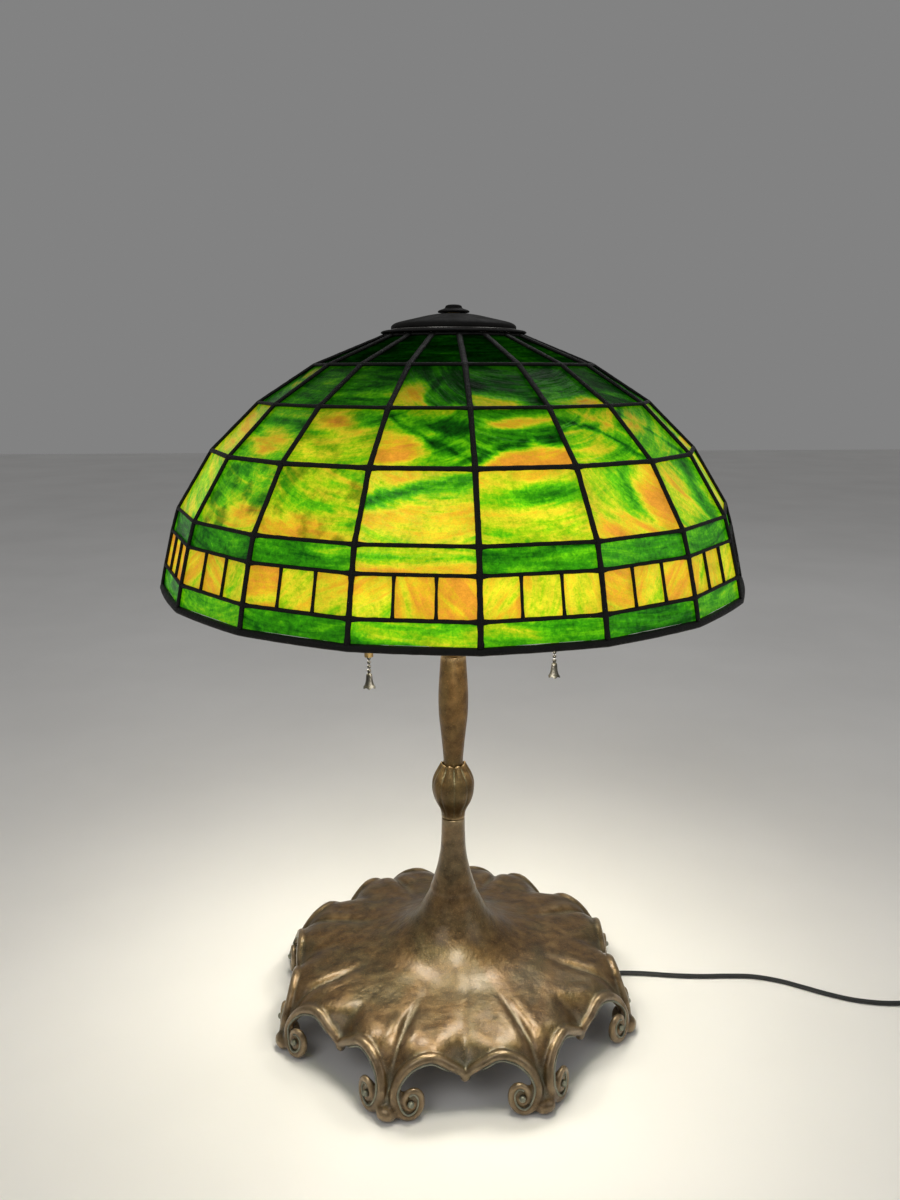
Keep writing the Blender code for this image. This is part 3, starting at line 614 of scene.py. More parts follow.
# The panes that are designed one by one, by row and panel. The others are drawn at random.
PANES = {
    (1, 17): Pane(0.2, 70, 0.3, 0,
        [(0.22, 0.72, 0.34, 0.34, 0, 0.62, 0.5)],
        [(0.62, 0.3, 0.3, 0.8, 0.62, 0.98, 0.05, -0.35), (0.2, 1, 0.6, 0.9, 1, 0.95, 0.05, 0.25)]),
    (1, 0): Pane(0.22, 20, 0.5, 0,
        [(0.28, 0.92, 0.5, 0.3, 10, 0.52, 0.5)],
        [(0.1, 0.5, 0.6, 0.5, 1, 0.9, 0.1, -0.2)]),
    (1, 1): Pane(0.2, -20, 0.4, 0,
        [(0.78, 0.95, 0.42, 0.2, 0, 0.7, 0.4), (0.15, 0.8, 0.3, 0.4, 0, 0.2, 0.6)]),
    (1, 2): Pane(0.24, 30, 0.2),
    (1, 16): Pane(0.34, 2, 0, 0,
        [(0.75, 0.1, 0.4, 0.3, 0, -0.2, 0.6)],
        [(0, 0.65, 0.5, 0.7, 1, 0.7, 0.1, 0.2)]),
    (1, 15): Pane(0.3, 4, 0.1, 0, [(0.6, 0.4, 0.3, 0.2, 0, 0.25, 0.6)]),
    (2, 17): Pane(0.56, -35, 0.6, 0.1,
        [(0.2, 0.72, 0.3, 0.26, 25, 0.42, 0.35), (0.86, 0.32, 0.34, 0.14, 15, -0.42, 0.5),
         (0.75, 0.66, 0.3, 0.12, 30, -0.2, 0.6)],
        [(0.05, 0.12, 0.45, 0.5, 1, 0.86, 0.035, -0.34), (0, 0.02, 0.5, 0.25, 1, 0.55, 0.05, -0.2)]),
    (2, 0): Pane(0.38, 12, 0.8, 0,
        [(0.66, 1.06, 0.8, 0.46, -8, 0.66, 0.1), (0.66, 0.22, 0.5, 0.09, -8, 0.5, 0.4)],
        [(0, 0.88, 0.3, 0.55, 1, 0.52, 0.06, -0.42), (0, 0.62, 0.4, 0.4, 1, 0.36, 0.04, -0.2)]),
    (2, 1): Pane(0.47, -40, 0.7, 0,
        [(0.25, 0.65, 0.3, 0.3, 0, 0.12, 0.6), (0.8, 0.15, 0.3, 0.2, 0, 0.15, 0.6)],
        [(0.05, 0.22, 0.62, 0.26, 0.92, 0.88, 0.05, -0.4), (0.3, 0.05, 0.8, 0.2, 1, 0.6, 0.04, 0.2)]),
    (2, 2): Pane(0.5, -50, 0.6, 0.2,
        [(0.3, 0.3, 0.3, 0.2, 0, 0.3, 0.6)],
        [(0.1, 0.1, 0.6, 0.4, 0.9, 0.95, 0.05, -0.3)]),
    (2, 16): Pane(0.66, -10, 0.3, 0.45,
        [(0.42, 0.28, 0.26, 0.16, 0, 0.28, 0.6), (0.8, 0.15, 0.3, 0.15, 0, -0.3, 0.6)]),
    (2, 15): Pane(0.46, 0, 0.2, 0.25,
        [(0.52, 0.68, 0.4, 0.26, 0, 0.42, 0.5)],
        [(0, 0.3, 0.5, 0.25, 1, 0.3, 0.06, -0.2)]),
    (2, 14): Pane(0.58, 10, 0.2, 0, [(0.5, 0.5, 0.5, 0.4, 0, 0.25, 0.6)]),
    (3, 17): Pane(0.76, 12, 0.5, 0,
        [(0.25, 0.15, 0.35, 0.16, 0, 0.08, 0.5)],
        [(1.02, 0.12, 0.52, 0.2, -0.02, 0.46, 0.09, -0.52), (1, 0.34, 0.6, 0.36, 0.2, 0.52, 0.04, -0.25)]),
    (3, 0): Pane(0.73, -5, 0.4, 0.18,
        [(0.52, 0.36, 0.56, 0.16, -6, -0.36, 0.6), (0.45, 0.92, 0.5, 0.16, 0, -0.2, 0.6)]),
    (3, 1): Pane(0.61, 60, 0.5, 0,
        [(0.93, 0.6, 0.28, 0.62, 0, 0.42, 0.4), (0.3, 0.9, 0.4, 0.16, 0, 0.3, 0.6)],
        [(0.6, 0, 0.5, 0.5, 0.8, 1, 0.06, -0.2)]),
    (3, 2): Pane(0.55, 50, 0.4, 0.1,
        [(0.3, 0.5, 0.25, 0.5, 0, 0.22, 0.5)],
        [(0.8, 0, 0.6, 0.5, 0.8, 1, 0.1, -0.2)]),
    (3, 3): Pane(0.66, 60, 0.3, 0.1),
    (3, 16): Pane(0.62, 25, 0.5, 0.85, [(0.25, 0.88, 0.5, 0.2, 10, 0.28, 0.5)]),
    (3, 15): Pane(0.56, 15, 0.4, 0.9,
        [(0.72, 0.85, 0.4, 0.2, 0, 0.22, 0.6), (0.2, 0.2, 0.4, 0.3, 0, -0.15, 0.6)]),
    (3, 14): Pane(0.66, 30, 0.3, 0.35),
    (4, 17): Pane(0.69, 3, 0.1, 0,
        [(0.5, 0.9, 0.6, 0.3, 0, 0.14, 0.6)],
        [(0, 0.45, 0.5, 0.55, 1, 0.4, 0.1, -0.22)]),
    (4, 0): Pane(0.34, 3, 0.1, 0, [(0.3, 0.8, 0.3, 0.2, 0, 0.14, 0.6)]),
    (4, 1): Pane(0.33, 4, 0.1),
    (4, 16): Pane(0.34, 2, 0.1, 0, [(0.9, 0.5, 0.25, 0.5, 0, 0.16, 0.6)]),
    (6, 17): Pane(0.43, 4, 0.2, 0, [(0.85, 0.5, 0.4, 0.6, 0, 0.12, 0.6)]),
    (6, 0): Pane(0.48, 6, 0.2, 0,
        [(0.2, 0.4, 0.4, 0.6, 0, 0.14, 0.6), (0.7, 0.4, 0.3, 0.3, 0, -0.12, 0.6)]),
    (6, 1): Pane(0.31, 4, 0.2),
}
TILE_TONES = {17: (0.80, 0.83, 1.00), 0: (0.78, 0.79, 0.80), 1: (0.86, 0.74, 0.88), 2: (0.80, 0.84, 0.74),
              16: (0.88, 0.74, 0.77), 15: (0.80, 0.84, 0.72)}
ROW_TONE = [0.12, 0.26, 0.50, 0.64, 0.34, 0.80, 0.38]
PANE_INSET = 0.7
RIPPLE = 0.22
SUNK = 0.25
FLOW_ALONG = 0.020
FLOW_ASIDE = 0.072
TILE_ROW = 5
ROW_GRID = [(8, 8), (16, 14), (18, 16), (18, 16), (12, 5), (6, 6), (12, 5)]
# Brightness of the lit glass by height.
GLOW = [(390, 0.86), (402, 0.96), (412, 1.02), (425, 1.06), (440, 1.02), (455, 1.08), (475, 1.08),
        (495, 0.98), (512, 0.76), (530, 0.48), (545, 0.27), (557, 0.17), (566, 0.13), (576, 0.10)]


def pane_look(row, panel, tile):
    """The look of one pane: the listed one, or one drawn at random around its row's colour."""
    draw = random.Random(1000 * row + 10 * panel + tile + 7)
    if row == TILE_ROW:
        tone = TILE_TONES[panel][tile] if panel in TILE_TONES else ROW_TONE[row] + draw.uniform(-0.12, 0.14)
        return Pane(tone, draw.uniform(-80, 80), 0.1)
    if (row, panel) in PANES:
        return PANES[row, panel]
    patches = []
    strokes = []
    if row in (1, 2, 3):
        for _ in range(draw.randint(1, 2)):
            patches.append((draw.random(), draw.random(), draw.uniform(0.2, 0.45), draw.uniform(0.12, 0.35),
                            draw.uniform(-30, 30), draw.choice((-0.35, 0.3, 0.42)), draw.uniform(0.2, 0.6)))
        high = draw.uniform(0.1, 0.9)
        strokes.append((0.0, high, 0.5, draw.random(), 1.0, high + draw.uniform(-0.5, 0.5), 0.06, -0.35))
    streak = draw.uniform(-50, 50) if row in (1, 2, 3) else draw.uniform(-5, 5)
    return Pane(ROW_TONE[row] + draw.uniform(-0.08, 0.08), streak, draw.uniform(0.1, 0.7),
                draw.choice((0.0, 0.0, 0.5)) if row in (2, 3) else 0.0, patches, strokes)


def tone_at(across, down, look):
    """The tone of a point of a pane, with its patches and strokes."""
    tone = look.tone
    for x, y, wide, high, turn, amount, soft in look.patches:
        c, s = wave(turn), wave(turn - 90)
        dx, dy = across - x, down - y
        far = math.hypot((dx * c + dy * s) / wide, (dy * c - dx * s) / high)
        ragged = 0.22 * wobble(across * 3, down * 3, x * 9) + 0.10 * wobble(across * 9, down * 9, y * 9)
        tone += amount * (1 - ease(0.75 - soft, 1.15 + soft, far + ragged))
    for x0, y0, x1, y1, x2, y2, wide, amount in look.strokes:
        near = 9.0
        for i in range(15):
            t = i / 14
            px = (1 - t) ** 2 * x0 + 2 * t * (1 - t) * x1 + t * t * x2
            py = (1 - t) ** 2 * y0 + 2 * t * (1 - t) * y1 + t * t * y2
            near = min(near, math.hypot(across - px, down - py))
        tone += amount * hump(near, wide * (1 + 0.45 * wobble(across * 5, down * 5, x1 * 7 + y1)))
    return tone


def add_pane(build, paint, row, panel, tile):
    """One pane, a slab of two rippled faces and a border, and the paint of its points."""
    grid_x, grid_y = ROW_GRID[row]
    look = pane_look(row, panel, tile)
    c, s = wave(look.streak), wave(look.streak - 90)
    seed = 3.7 * row + 11.3 * panel + 5.9 * tile
    left, right = PANEL_DEG * panel, PANEL_DEG * (panel + 1)
    outwards = lifted(row_normal(row), (left + right) / 2)
    light = 0.86 + 0.14 * wave(3 * (left + 10 - 6.6))
    start = len(build.points)
    for side, depth in enumerate((GLASS_OUT, GLASS_IN)):
        top, foot = offset_rings(depth)[row:row + 2]
        slope = foot - top
        for j in range(grid_y + 1):
            down = j / grid_y
            a = top.lerp(foot, down) + slope.normalized() * PANE_INSET * (1 - 2 * down)
            p, q = polar(a.x / FLAT, left, a.y), polar(a.x / FLAT, right, a.y)
            p, q = p.lerp(q, tile / TILES[row]), p.lerp(q, (tile + 1) / TILES[row])
            wide = (q - p).length
            edge = PANE_INSET / wide
            for i in range(grid_x + 1):
                across = i / grid_x
                at = p.lerp(q, edge + across * (1 - 2 * edge))
                ripple = RIPPLE * wobble(at.x * 0.11, at.y * 0.11, at.z * 0.11 + side * 40)
                rim = min(across, 1 - across, down, 1 - down)
                at = at + outwards * (ripple * ease(0, 0.2, rim) - SUNK)
                build.points.append(at)
                x, y = (across - 0.5) * wide, down * slope.length
                along = x * c + y * s
                aside = y * c - x * s + look.bend * 0.012 * along * along
                paint["flow"].append((along * FLOW_ALONG, aside * FLOW_ASIDE, seed))
                paint["tone"].append(tone_at(across, down, look))
                # glow is painted light: GLOW by height, three brighter lobes round the shade, and painted
                # shade near the pane's edges
                paint["glow"].append(smooth_table(GLOW, at.z) * light * (0.84 + 0.16 * ease(0.0, 0.16, rim)))
                paint["mottle"].append(look.mottle)
    line = grid_x + 1
    face_size = line * (grid_y + 1)
    for base in (start, start + face_size):
        for j in range(grid_y):
            for i in range(grid_x):
                a = base + j * line + i
                build.faces.append((a, a + 1, a + 1 + line, a + line))
    border = [j * line for j in range(grid_y + 1)]
    border += [grid_y * line + i for i in range(1, grid_x + 1)]
    border += [j * line + grid_x for j in range(grid_y - 1, -1, -1)]
    border += range(grid_x - 1, 0, -1)
    for a, b in zip(border, border[1:] + border[:1]):
        build.faces.append((start + a, start + b, start + face_size + b, start + face_size + a))


def glass_row(row):
    """A ring of panes, with the attributes that the glass material reads."""
    build = Build()
    paint = {"flow": [], "tone": [], "glow": [], "mottle": []}
    for panel in range(PANELS):
        for tile in range(TILES[row]):
            add_pane(build, paint, row, panel, tile)
    piece = build.piece(f"art_glass_{row + 1}", GLASS[row], "shade", f"glass_row_{row + 1}",
                        slot=f"glass_{row + 1}", sharp=40, merge=False)
    for name, values in paint.items():
        set_attribute(piece.data, name, "FLOAT_VECTOR" if name == "flow" else "FLOAT", values)


for row_number in range(len(TILES)):
    glass_row(row_number)


# ---- leading ------------------------------------------------------------------------------------
CAME_STEP = 2.6
# Outside and inside: depth from the panels' surface, half height, share of the width, seed.
CAME_LAYERS = [(-0.95, 1.3, 1.0, 3.0), (-5.3, 0.95, 0.92, 90.0)]
# Half widths of the level cames, from the top down.
CAME_HALVES = [1.7, 1.3, 1.3, 1.75, 1.35, 1.25, 1.35]


def bead(build, line, normals, halves, high, seed):
    """A flattened solder bead with wavy edges along a line."""
    rings = []
    for i, p in enumerate(line):
        along = (line[min(i + 1, len(line) - 1)] - line[max(i - 1, 0)]).normalized()
        up = (normals[i] - along * normals[i].dot(along)).normalized()
        side = along.cross(up)
        left, right = (halves[i] * (1 + 0.15 * wobble(p.x * 0.22 + far, p.y * 0.22, p.z * 0.22 + seed)
                                    + 0.09 * wobble(p.x * 0.7 + far, p.y * 0.7, p.z * 0.7 + seed))
                       for far in (0, 50))
        top = high * (1 + 0.12 * wobble(p.x * 0.3, p.y * 0.3 + 70, p.z * 0.3 + seed))
        ring = []
        for j in range(10):
            a = math.tau * j / 10
            reach = left if math.cos(a) > 0 else right
            ring.append(p + side * math.cos(a) * reach + up * math.sin(a) * top)
        rings.append(ring)
    build.loft(rings)


def came(build, a, b, least, half, swell, reach, look, normal, seed):
    """A straight came between two joints, wider by swell near them. look is (height, share of width)."""
    high, widen = look
    count = max(least, round((b - a).length / CAME_STEP))
    ends = [min(i, count - i) / count * (b - a).length for i in range(count + 1)]
    halves = [(half + swell * hump(end, reach)) * widen for end in ends]
    bead(build, [a.lerp(b, i / count) for i in range(count + 1)], [normal] * (count + 1), halves, high, seed)


def rib(build, rings, deg, look, seed):
    """The came that runs down a corner of the shade."""
    line, normals, halves = [], [], []
    for row in range(len(TILES)):
        long = (rings[row + 1] - rings[row]).length
        count = max(2, round(long / CAME_STEP))
        before, mine, after = (row_normal(k) for k in (max(0, row - 1), row, min(LAST_ROW, row + 1)))
        for i in range(count + (row == LAST_ROW)):
            down = i / count
            at = rings[row].lerp(rings[row + 1], down)
            line.append(polar(at.x / FLAT, deg, at.y))
            near = before.lerp(mine, 0.5 + down) if down < 0.5 else mine.lerp(after, down - 0.5)
            normals.append(lifted(near, deg))
            half = 1.85 + 0.45 * (1 - ease(0, 2.6, row + down)) + 0.35 * hump(min(down, 1 - down) * long, 4)
            halves.append(half * look[1])
    bead(build, line, normals, halves, look[0], seed)


def leading():
    """All cames but the rim, on the outside and the inside of the glass."""
    build = Build()
    for depth, high, widen, seed in CAME_LAYERS:
        rings = offset_rings(depth)
        for panel in range(PANELS):
            deg = PANEL_DEG * panel
            rib(build, rings, deg, (high, widen), seed + panel)
            middle = deg + PANEL_DEG / 2
            corners = [[polar(at.x / FLAT, side, at.y) for side in (deg, deg + PANEL_DEG)] for at in rings]
            for level, half in enumerate(CAME_HALVES):
                normal = row_normal(max(0, level - 1)) + row_normal(min(LAST_ROW, level))
                came(build, *corners[level], 6, half, 0.75, 3.6, (high * 0.94, widen),
                     lifted(normal, middle), seed + 20 + panel + level * 3)
            for tile in (1, 2):
                a, b = (corners[level][0].lerp(corners[level][1], tile / 3) for level in (5, 6))
                came(build, a, b, 5, 1.0, 0.5, 3 * (b - a).length / 26, (high * 0.88, widen),
                     lifted(row_normal(TILE_ROW), middle), seed + 60 + panel + tile)
    build.piece("lead_cames", LEAD, "shade", "lead_lattice", slot="lead")


leading()


def rim():
    """The heavy came round the bottom edge, with the straight sides and soft corners of the shade."""
    section = [(225, 392), (226, 391.1), (227.8, 390.8), (229.2, 391.1), (229.9, 391.9), (229.9, 393.1),
               (229.7, 394), (229.1, 395), (228, 395.6), (226.4, 395.6), (225.2, 395), (224.8, 393)]
    rings = []
    count = 14
    for panel in range(PANELS):
        for i in range(count):
            share = i / count
            crown = 1.5 * math.sin(math.pi * share) - 0.3
            ring = []
            for k, (r, z) in enumerate(section):
                a, b = polar(r, PANEL_DEG * panel, z), polar(r, PANEL_DEG * (panel + 1), z)
                at = a.lerp(b, share)
                out = Vector((at.x, at.y, 0)).normalized()
                at = at + out * (crown + 0.16 * wobble(at.x * 0.12, at.y * 0.12, k * 2.0))
                at.z += (0.45 if z > 394 else 0.15) * wobble(at.x * 0.16, at.y * 0.16, k + 30.0)
                ring.append(at)
            rings.append(ring)
    build = Build()
    build.loft(rings, loop=True)
    build.piece("rim_came", LEAD, "shade", "rim_band", slot="lead", sharp=60)


rim()


# ---- cap and finial -----------------------------------------------------------------------------
def smooth_profile(points, step=1.2):
    return [tuple(p) for p in smooth_line([(*p, 0.0) for p in points], step)[:, :2]]


build = Build()
build.turn([(45.0, 582.5), (49.0, 582.45), (52.5, 582.25), (54.6, 581.8), (55.7, 581.2), (56.0, 580.5),
            (55.4, 580.0), (45.0, 580.0)], 90, loop=True)
build.piece("crown_flange", CAP_BLACK, "shade", "aperture_ring", slot="brass", sharp=40)

cap_outside = [(5.2, 595.2), (12, 594.7), (20, 593.5), (30, 591.3), (38, 589.5), (43, 588.3),
               (46.2, 587), (47.9, 585.3), (48.1, 583.8), (47.6, 582.9)]
cap_inside = [(46.4, 582.9), (46.3, 584.3), (44.6, 585.8), (38, 587.9), (29.5, 589.8), (17.8, 592.4),
              (5.2, 593.9)]
build = Build()
build.turn(smooth_profile(cap_outside) + smooth_profile(cap_inside), 90, loop=True)
build.piece("vent_cap", CAP_BLACK, "shade", "heat_cap", slot="cap_black", sharp=40)

build = Build()
build.turn([(47.3 + 0.55 * wave(45 * k), 582.95 + 0.4 * wave(45 * k - 90)) for k in range(8)], 120, loop=True)
build.piece("cap_rim_wire", RIM_METAL, "shade", slot="rim_metal")


def knurl(r, z, deg):
    return r * (1 + (0.03 * wave(deg * 16) if 598.9 < z < 601.2 else 0)), z


build = Build()
build.turn([(0, 601.7), (2.2, 601.6), (4.2, 601.4), (5.5, 600.9), (6.1, 600.2), (6.3, 599.5), (6.6, 599),
            (7.6, 598.5), (9.2, 598), (10.8, 597.5), (11.9, 596.9), (12.2, 596.2), (11.7, 595.6),
            (5, 595.5), (5, 598), (0, 598)], 64, shape=knurl)
build.piece("turn_knob", CAP_BLACK, "finial", "finial", slot="cap_black", sharp=35)


# ---- base ---------------------------------------------------------------------------------------
RIM_FINE = smooth_line(RIM, 0.5)
RIM_FINE[:, 1] = np.clip(RIM_FINE[:, 1], 0.0, HALF_BAY)


def rim_at(part):
    """Rim of the skirt over half a bay, from the cusp at 0 to the valley at 1."""
    at = part * (len(RIM_FINE) - 1)
    i = min(int(at), len(RIM_FINE) - 2)
    return RIM_FINE[i] + (RIM_FINE[i + 1] - RIM_FINE[i]) * (at - i)


def skirt_top(bay, side, part, share):
    """A point of the skirt's top: part runs from cusp to valley, share from the neck to the edge."""
    rim_r, rim_deg, rim_z = rim_at(part)
    neck_r = TRUMPET[0][0]
    radius = neck_r + (rim_r - neck_r) * share
    deg = HALF_BAY * part * (1 - share) + rim_deg * share
    drop = (smooth_table(TRUMPET, rim_r) - rim_z + 1.8) * share ** (DROP_POWER - DROP_EASE * part ** 0.6)
    z = smooth_table(TRUMPET, radius) - drop
    valley = radius * math.radians(HALF_BAY - deg)
    fold = wobble(0.7 * bay + 0.3, 4.0)
    groove = hump(valley - 1.2 * wobble(radius * 0.04, bay + 0.5), 3.0 + 1.6 * (1 - share))
    ridge = hump(valley - 10.0, 4.5)
    z -= (3.6 + fold) * groove * ease(0.34, 0.80, share) * (1 - ease(0.95, 1.0, share))
    z += (0.7 + fold) * ridge * ease(0.40, 0.80, share) * (1 - ease(0.93, 1.0, share))
    at = polar(radius, SECTOR * bay + side * deg, z)
    uneven = 0.9 * wobble(at.x * 0.030, at.y * 0.030, 5.0) + 0.35 * wobble(at.x * 0.085, at.y * 0.085, 9.0)
    at.z += uneven * ease(0.05, 0.35, share) * (1 - 0.7 * ease(0.9, 1.0, share))
    return at


def skirt_ring(share, columns):
    """A closed ring of the skirt's points, bay after bay."""
    ring = []
    for bay in range(FEET):
        ring += [skirt_top(bay, 1, k / columns, share) for k in range(columns)]
        ring += [skirt_top(bay + 1, -1, k / columns, share) for k in range(columns, 0, -1)]
    return ring


# Turns of a volute from its outer side: deg, radius, thickness, how far out it stands.
SPIRAL = [(-2, 15, 3.8, -1), (32, 12.6, 3.75, 0.6), (62, 11, 3.7, 1.4), (90, 9.9, 3.65, 1.6),
          (125, 9.7, 3.5, 1.3), (160, 10.2, 3.3, 0.6), (195, 10.3, 3, 0.4), (230, 9.3, 2.75, 0.8),
          (265, 8, 2.5, 1.3), (300, 6.9, 2.3, 1.7), (340, 6, 2.1, 2), (380, 5.4, 1.9, 2.3),
          (420, 4.8, 1.75, 2.6), (460, 4.3, 1.6, 2.8), (500, 3.7, 1.5, 3), (540, 3, 1.4, 3.2)]
SPIRAL_WIDE = 0.80
SPIRAL_HIGH = 1.20
NECK_RINGS = 31
TOE_R = 155.6
HEEL_R = 150.8
CUSP_R = 137.0
UP = Vector((0, 0, 1))


def volute_line(side):
    """Half a lip, over the arch and round the volute: x, y, z, radius, then the facing normal."""
    rows = []
    for i, (r, deg, z) in enumerate(ROLL):
        at = polar(r, side * deg, z)
        face = polar(1.0, side * deg)
        rows.append((*at, ROLL_R if i else ROLL_R - 0.3, *face))
    eye = polar(EYE[0], side * EYE[1], EYE[2])
    turn = side * (EYE[1] - EYE_TURN)
    face = polar(1.0, turn)
    lateral = side * polar(1.0, turn + 90)
    for deg, radius, thick, out in SPIRAL:
        aside = lateral * radius * SPIRAL_WIDE * wave(deg)
        at = eye + aside - UP * radius * SPIRAL_HIGH * wave(deg - 90) + face * out
        at.z = max(at.z, thick + 0.15)
        rows.append((*at, thick, *face))
    return rows, eye, face, lateral


def evaluated(obj):
    """The mesh that an object's modifiers make. The object itself is removed."""
    made = bpy.data.meshes.new_from_object(obj.evaluated_get(bpy.context.evaluated_depsgraph_get()))
    bpy.data.objects.remove(obj, do_unlink=True)
    return made


def base_shell():
    """The whole casting: sheet, lips, volutes, toes and cusps, made one surface by a voxel remesh."""
    build = Build()
    columns = 22
    total = FEET * 2 * columns
    neck_z, stem_z = TRUMPET[0][1], FOOT_STEM[0][1]
    profile = [(h, r) for r, h in [TRUMPET[0], *FOOT_STEM[::-1]]]
    rings = []
    for i in range(NECK_RINGS):
        z = stem_z - (stem_z - neck_z) * i / NECK_RINGS
        radius = smooth_table(profile, z)
        degs = [360 * k / total for k in range(total)]
        rings.append([polar(radius + 0.12 * wobble(deg * 0.05, z * 0.05), deg, z) for deg in degs])
    outer = [1 - (1 - t) ** 1.35 for t in np.linspace(0, 1, 46)]
    rings += [skirt_ring(share, columns) for share in outer]
    build.loft(rings, cap=False)
    sheet_mesh = build.mesh("sheet")
    if sum(face.normal.z for face in sheet_mesh.polygons) < 0:
        sheet_mesh.flip_normals()
    sheet = add_object("sheet", sheet_mesh)
    skin = sheet.modifiers.new("skin", "SOLIDIFY")
    skin.thickness = SKIN * MM
    skin.offset = -1.0
    skin.use_even_offset = True
    build = Build()
    build.turn([(20.0, 110.0), (20.5, 104.0), (BORE_R, 104.0), (BORE_R, 110.0)], 48, loop=True)
    for bay in range(FEET):
        spin = Matrix.Rotation(math.radians(SECTOR * bay), 3, "Z")
        for side in (-1, 1):
            rows, eye, face, lateral = volute_line(side)
            line = smooth_line([(*(spin @ Vector(row[:3])), row[3]) for row in rows], 1.6)
            build.tube([Vector(p[:3]) for p in line], [p[3] for p in line], 14)
            local = spin @ Matrix((lateral, face, UP)).transposed()
            build.ball(spin @ (eye + face * -0.6 + lateral * -0.3), (10.6, 3.4, 9.6), local, 20)
            build.ball(spin @ (eye + face * -0.5 + lateral * 9.0 - UP * 3.5), (8.0, 3.0, 7.0), local, 16)
        toe_deg = SECTOR * (bay + 0.5)
        toe_turn = Matrix.Rotation(math.radians(toe_deg), 3, "Z")
        build.ball(polar(TOE_R, toe_deg, 6.9), (8.8, 10.0, 6.8), toe_turn, 22, 0.82)
        build.ball(polar(HEEL_R, toe_deg, 13.0), (5.4, 6.4, 10.0), toe_turn, 18, 0.9)
        build.ball(polar(CUSP_R, SECTOR * bay, 28.6), (4.6, 4.2, 6.0), spin, 16)
    mesh = build.mesh("base_raw")
    skin_mesh = evaluated(sheet)
    work = bmesh.new()
    work.from_mesh(mesh)
    work.from_mesh(skin_mesh)
    work.to_mesh(mesh)
    work.free()
    raw = add_object("base_raw", mesh)
    remesh = raw.modifiers.new("remesh", "REMESH")
    remesh.mode = "VOXEL"
    remesh.voxel_size = 0.0013
    soft = raw.modifiers.new("soft", "SMOOTH")
    soft.factor = 0.5
    soft.iterations = 3
    return evaluated(raw)


def mark_curvature(mesh, rounds, gain_hollow, gain_edge, keep=0.0):
    """Writes crease and wear attributes from how hollow or how sharp the surface is around each point."""
    count = len(mesh.vertices)
    where = np.zeros((count, 3))
    mesh.vertices.foreach_get("co", where.ravel())
    normal = np.zeros((count, 3))
    mesh.vertex_normals.foreach_get("vector", normal.ravel())
    edges = np.zeros(len(mesh.edges) * 2, np.int64)
    mesh.edges.foreach_get("vertices", edges)
    a, b = edges.reshape(-1, 2).T
    around = np.bincount(a, minlength=count) + np.bincount(b, minlength=count)

    def average(values):
        total = np.zeros_like(values)
        np.add.at(total, a, values[b])
        np.add.at(total, b, values[a])
        return total / np.maximum(around, 1).reshape(-1, *([1] * (values.ndim - 1)))

    far = where
    for _ in range(rounds):
        far = 0.5 * far + 0.5 * average(far)
    bend = ((far - where) * normal).sum(1) * 1000
    for _ in range(3):
        bend = 0.5 * bend + 0.5 * average(bend)
    set_attribute(mesh, "crease", "FLOAT", np.clip(bend * gain_hollow + keep, 0, 1))
    set_attribute(mesh, "wear", "FLOAT", np.clip(-bend * gain_edge, 0, 1))


base_mesh = base_shell()
mark_curvature(base_mesh, 14, 1.25, 1.1)
finish_piece("bronze_base", base_mesh, BRONZE, "stand", ("base_casting",))

build = Build()
for bay in range(FEET):
    spin = Matrix.Rotation(math.radians(SECTOR * bay), 3, "Z")
    for side in (-1, 1):
        rows, eye, face, lateral = volute_line(side)
        fine = smooth_line(rows, 1.4)
        points, radii = [], []
        for i, row in enumerate(fine):
            at = Vector(row[:3])
            along = Vector(fine[min(i + 1, len(fine) - 1)][:3] - fine[max(i - 1, 0)][:3]).normalized()
            out = Vector(row[4:7]).normalized()
            inside = along.cross(out).normalized() * side
            share = i / (len(fine) - 1)
            if share < 0.08 or share > 0.86:
                continue
            thick = row[3]
            points.append(spin @ (at + inside * thick * 0.80 + out * thick * 0.72))
            radii.append(0.95 * ease(0.06, 0.14, share) * (1 - 0.35 * share) + 0.1)
        build.tube(points, radii, 8)
        build.ball(spin @ (eye + face * 4.0), (2.7, 2.7, 2.7), None, 12)
build.piece("scroll_beads", BRONZE_BEAD, "stand", slot="bronze")

# ---- stem ---------------------------------------------------------------------------------------
# Profile of the knop, up its outside and down into its cup: radius, height, depth and lift of the ribs.
KNOP = [(10.2, 176.9, 0, 0), (10.5, 180, 0.3, 0), (11.7, 184, 0.6, 0), (13.9, 188.4, 0.8, 0),
        (16.2, 193, 0.8, 0), (17.9, 199, 0.8, 0), (18.4, 205.3, 0.8, 0), (17.8, 211, 1, 0),
        (16.2, 215.6, 1.9, 0.3), (14.2, 219.4, 2.6, 0.9), (12.4, 222.4, 2.6, 1.7), (11.2, 224.4, 1.8, 2.3),
        (10.5, 225.4, 1.1, 2.6), (9.8, 225.6, 0.6, 2.5), (9.2, 224.9, 0.4, 2), (8.9, 223, 0.2, 1),
        (8.8, 220.4, 0, 0), (BORE_R, 220.4, 0, 0), (BORE_R, 176.9, 0, 0)]


def knop():
    """The ribbed bud under the upper stem, with a pleated, open cup."""
    build = Build()
    fine = [*smooth_line(KNOP[:16], 0.8), *KNOP[16:]]
    rings = []
    for r, z, depth, lift in fine:
        ring = []
        for k in range(144):
            deg = 2.5 * k
            rib = abs(math.sin(math.radians(deg * 4.5))) ** 0.7
            minor = 0.1 * depth * (0.5 + 0.5 * wave(deg * 36 + z * 2))
            radius = r - depth * (1 - rib) - minor
            ring.append(polar(max(radius, BORE_R), deg, z + lift * (rib - 0.6)))
        rings.append(ring)
    build.loft(rings, loop=True)
    made = build.piece("ribbed_knop", BRONZE_STEM, "stand", "stem_knop", slot="bronze")
    mark_curvature(made.data, 6, 5.0, 1.5, 0.05)


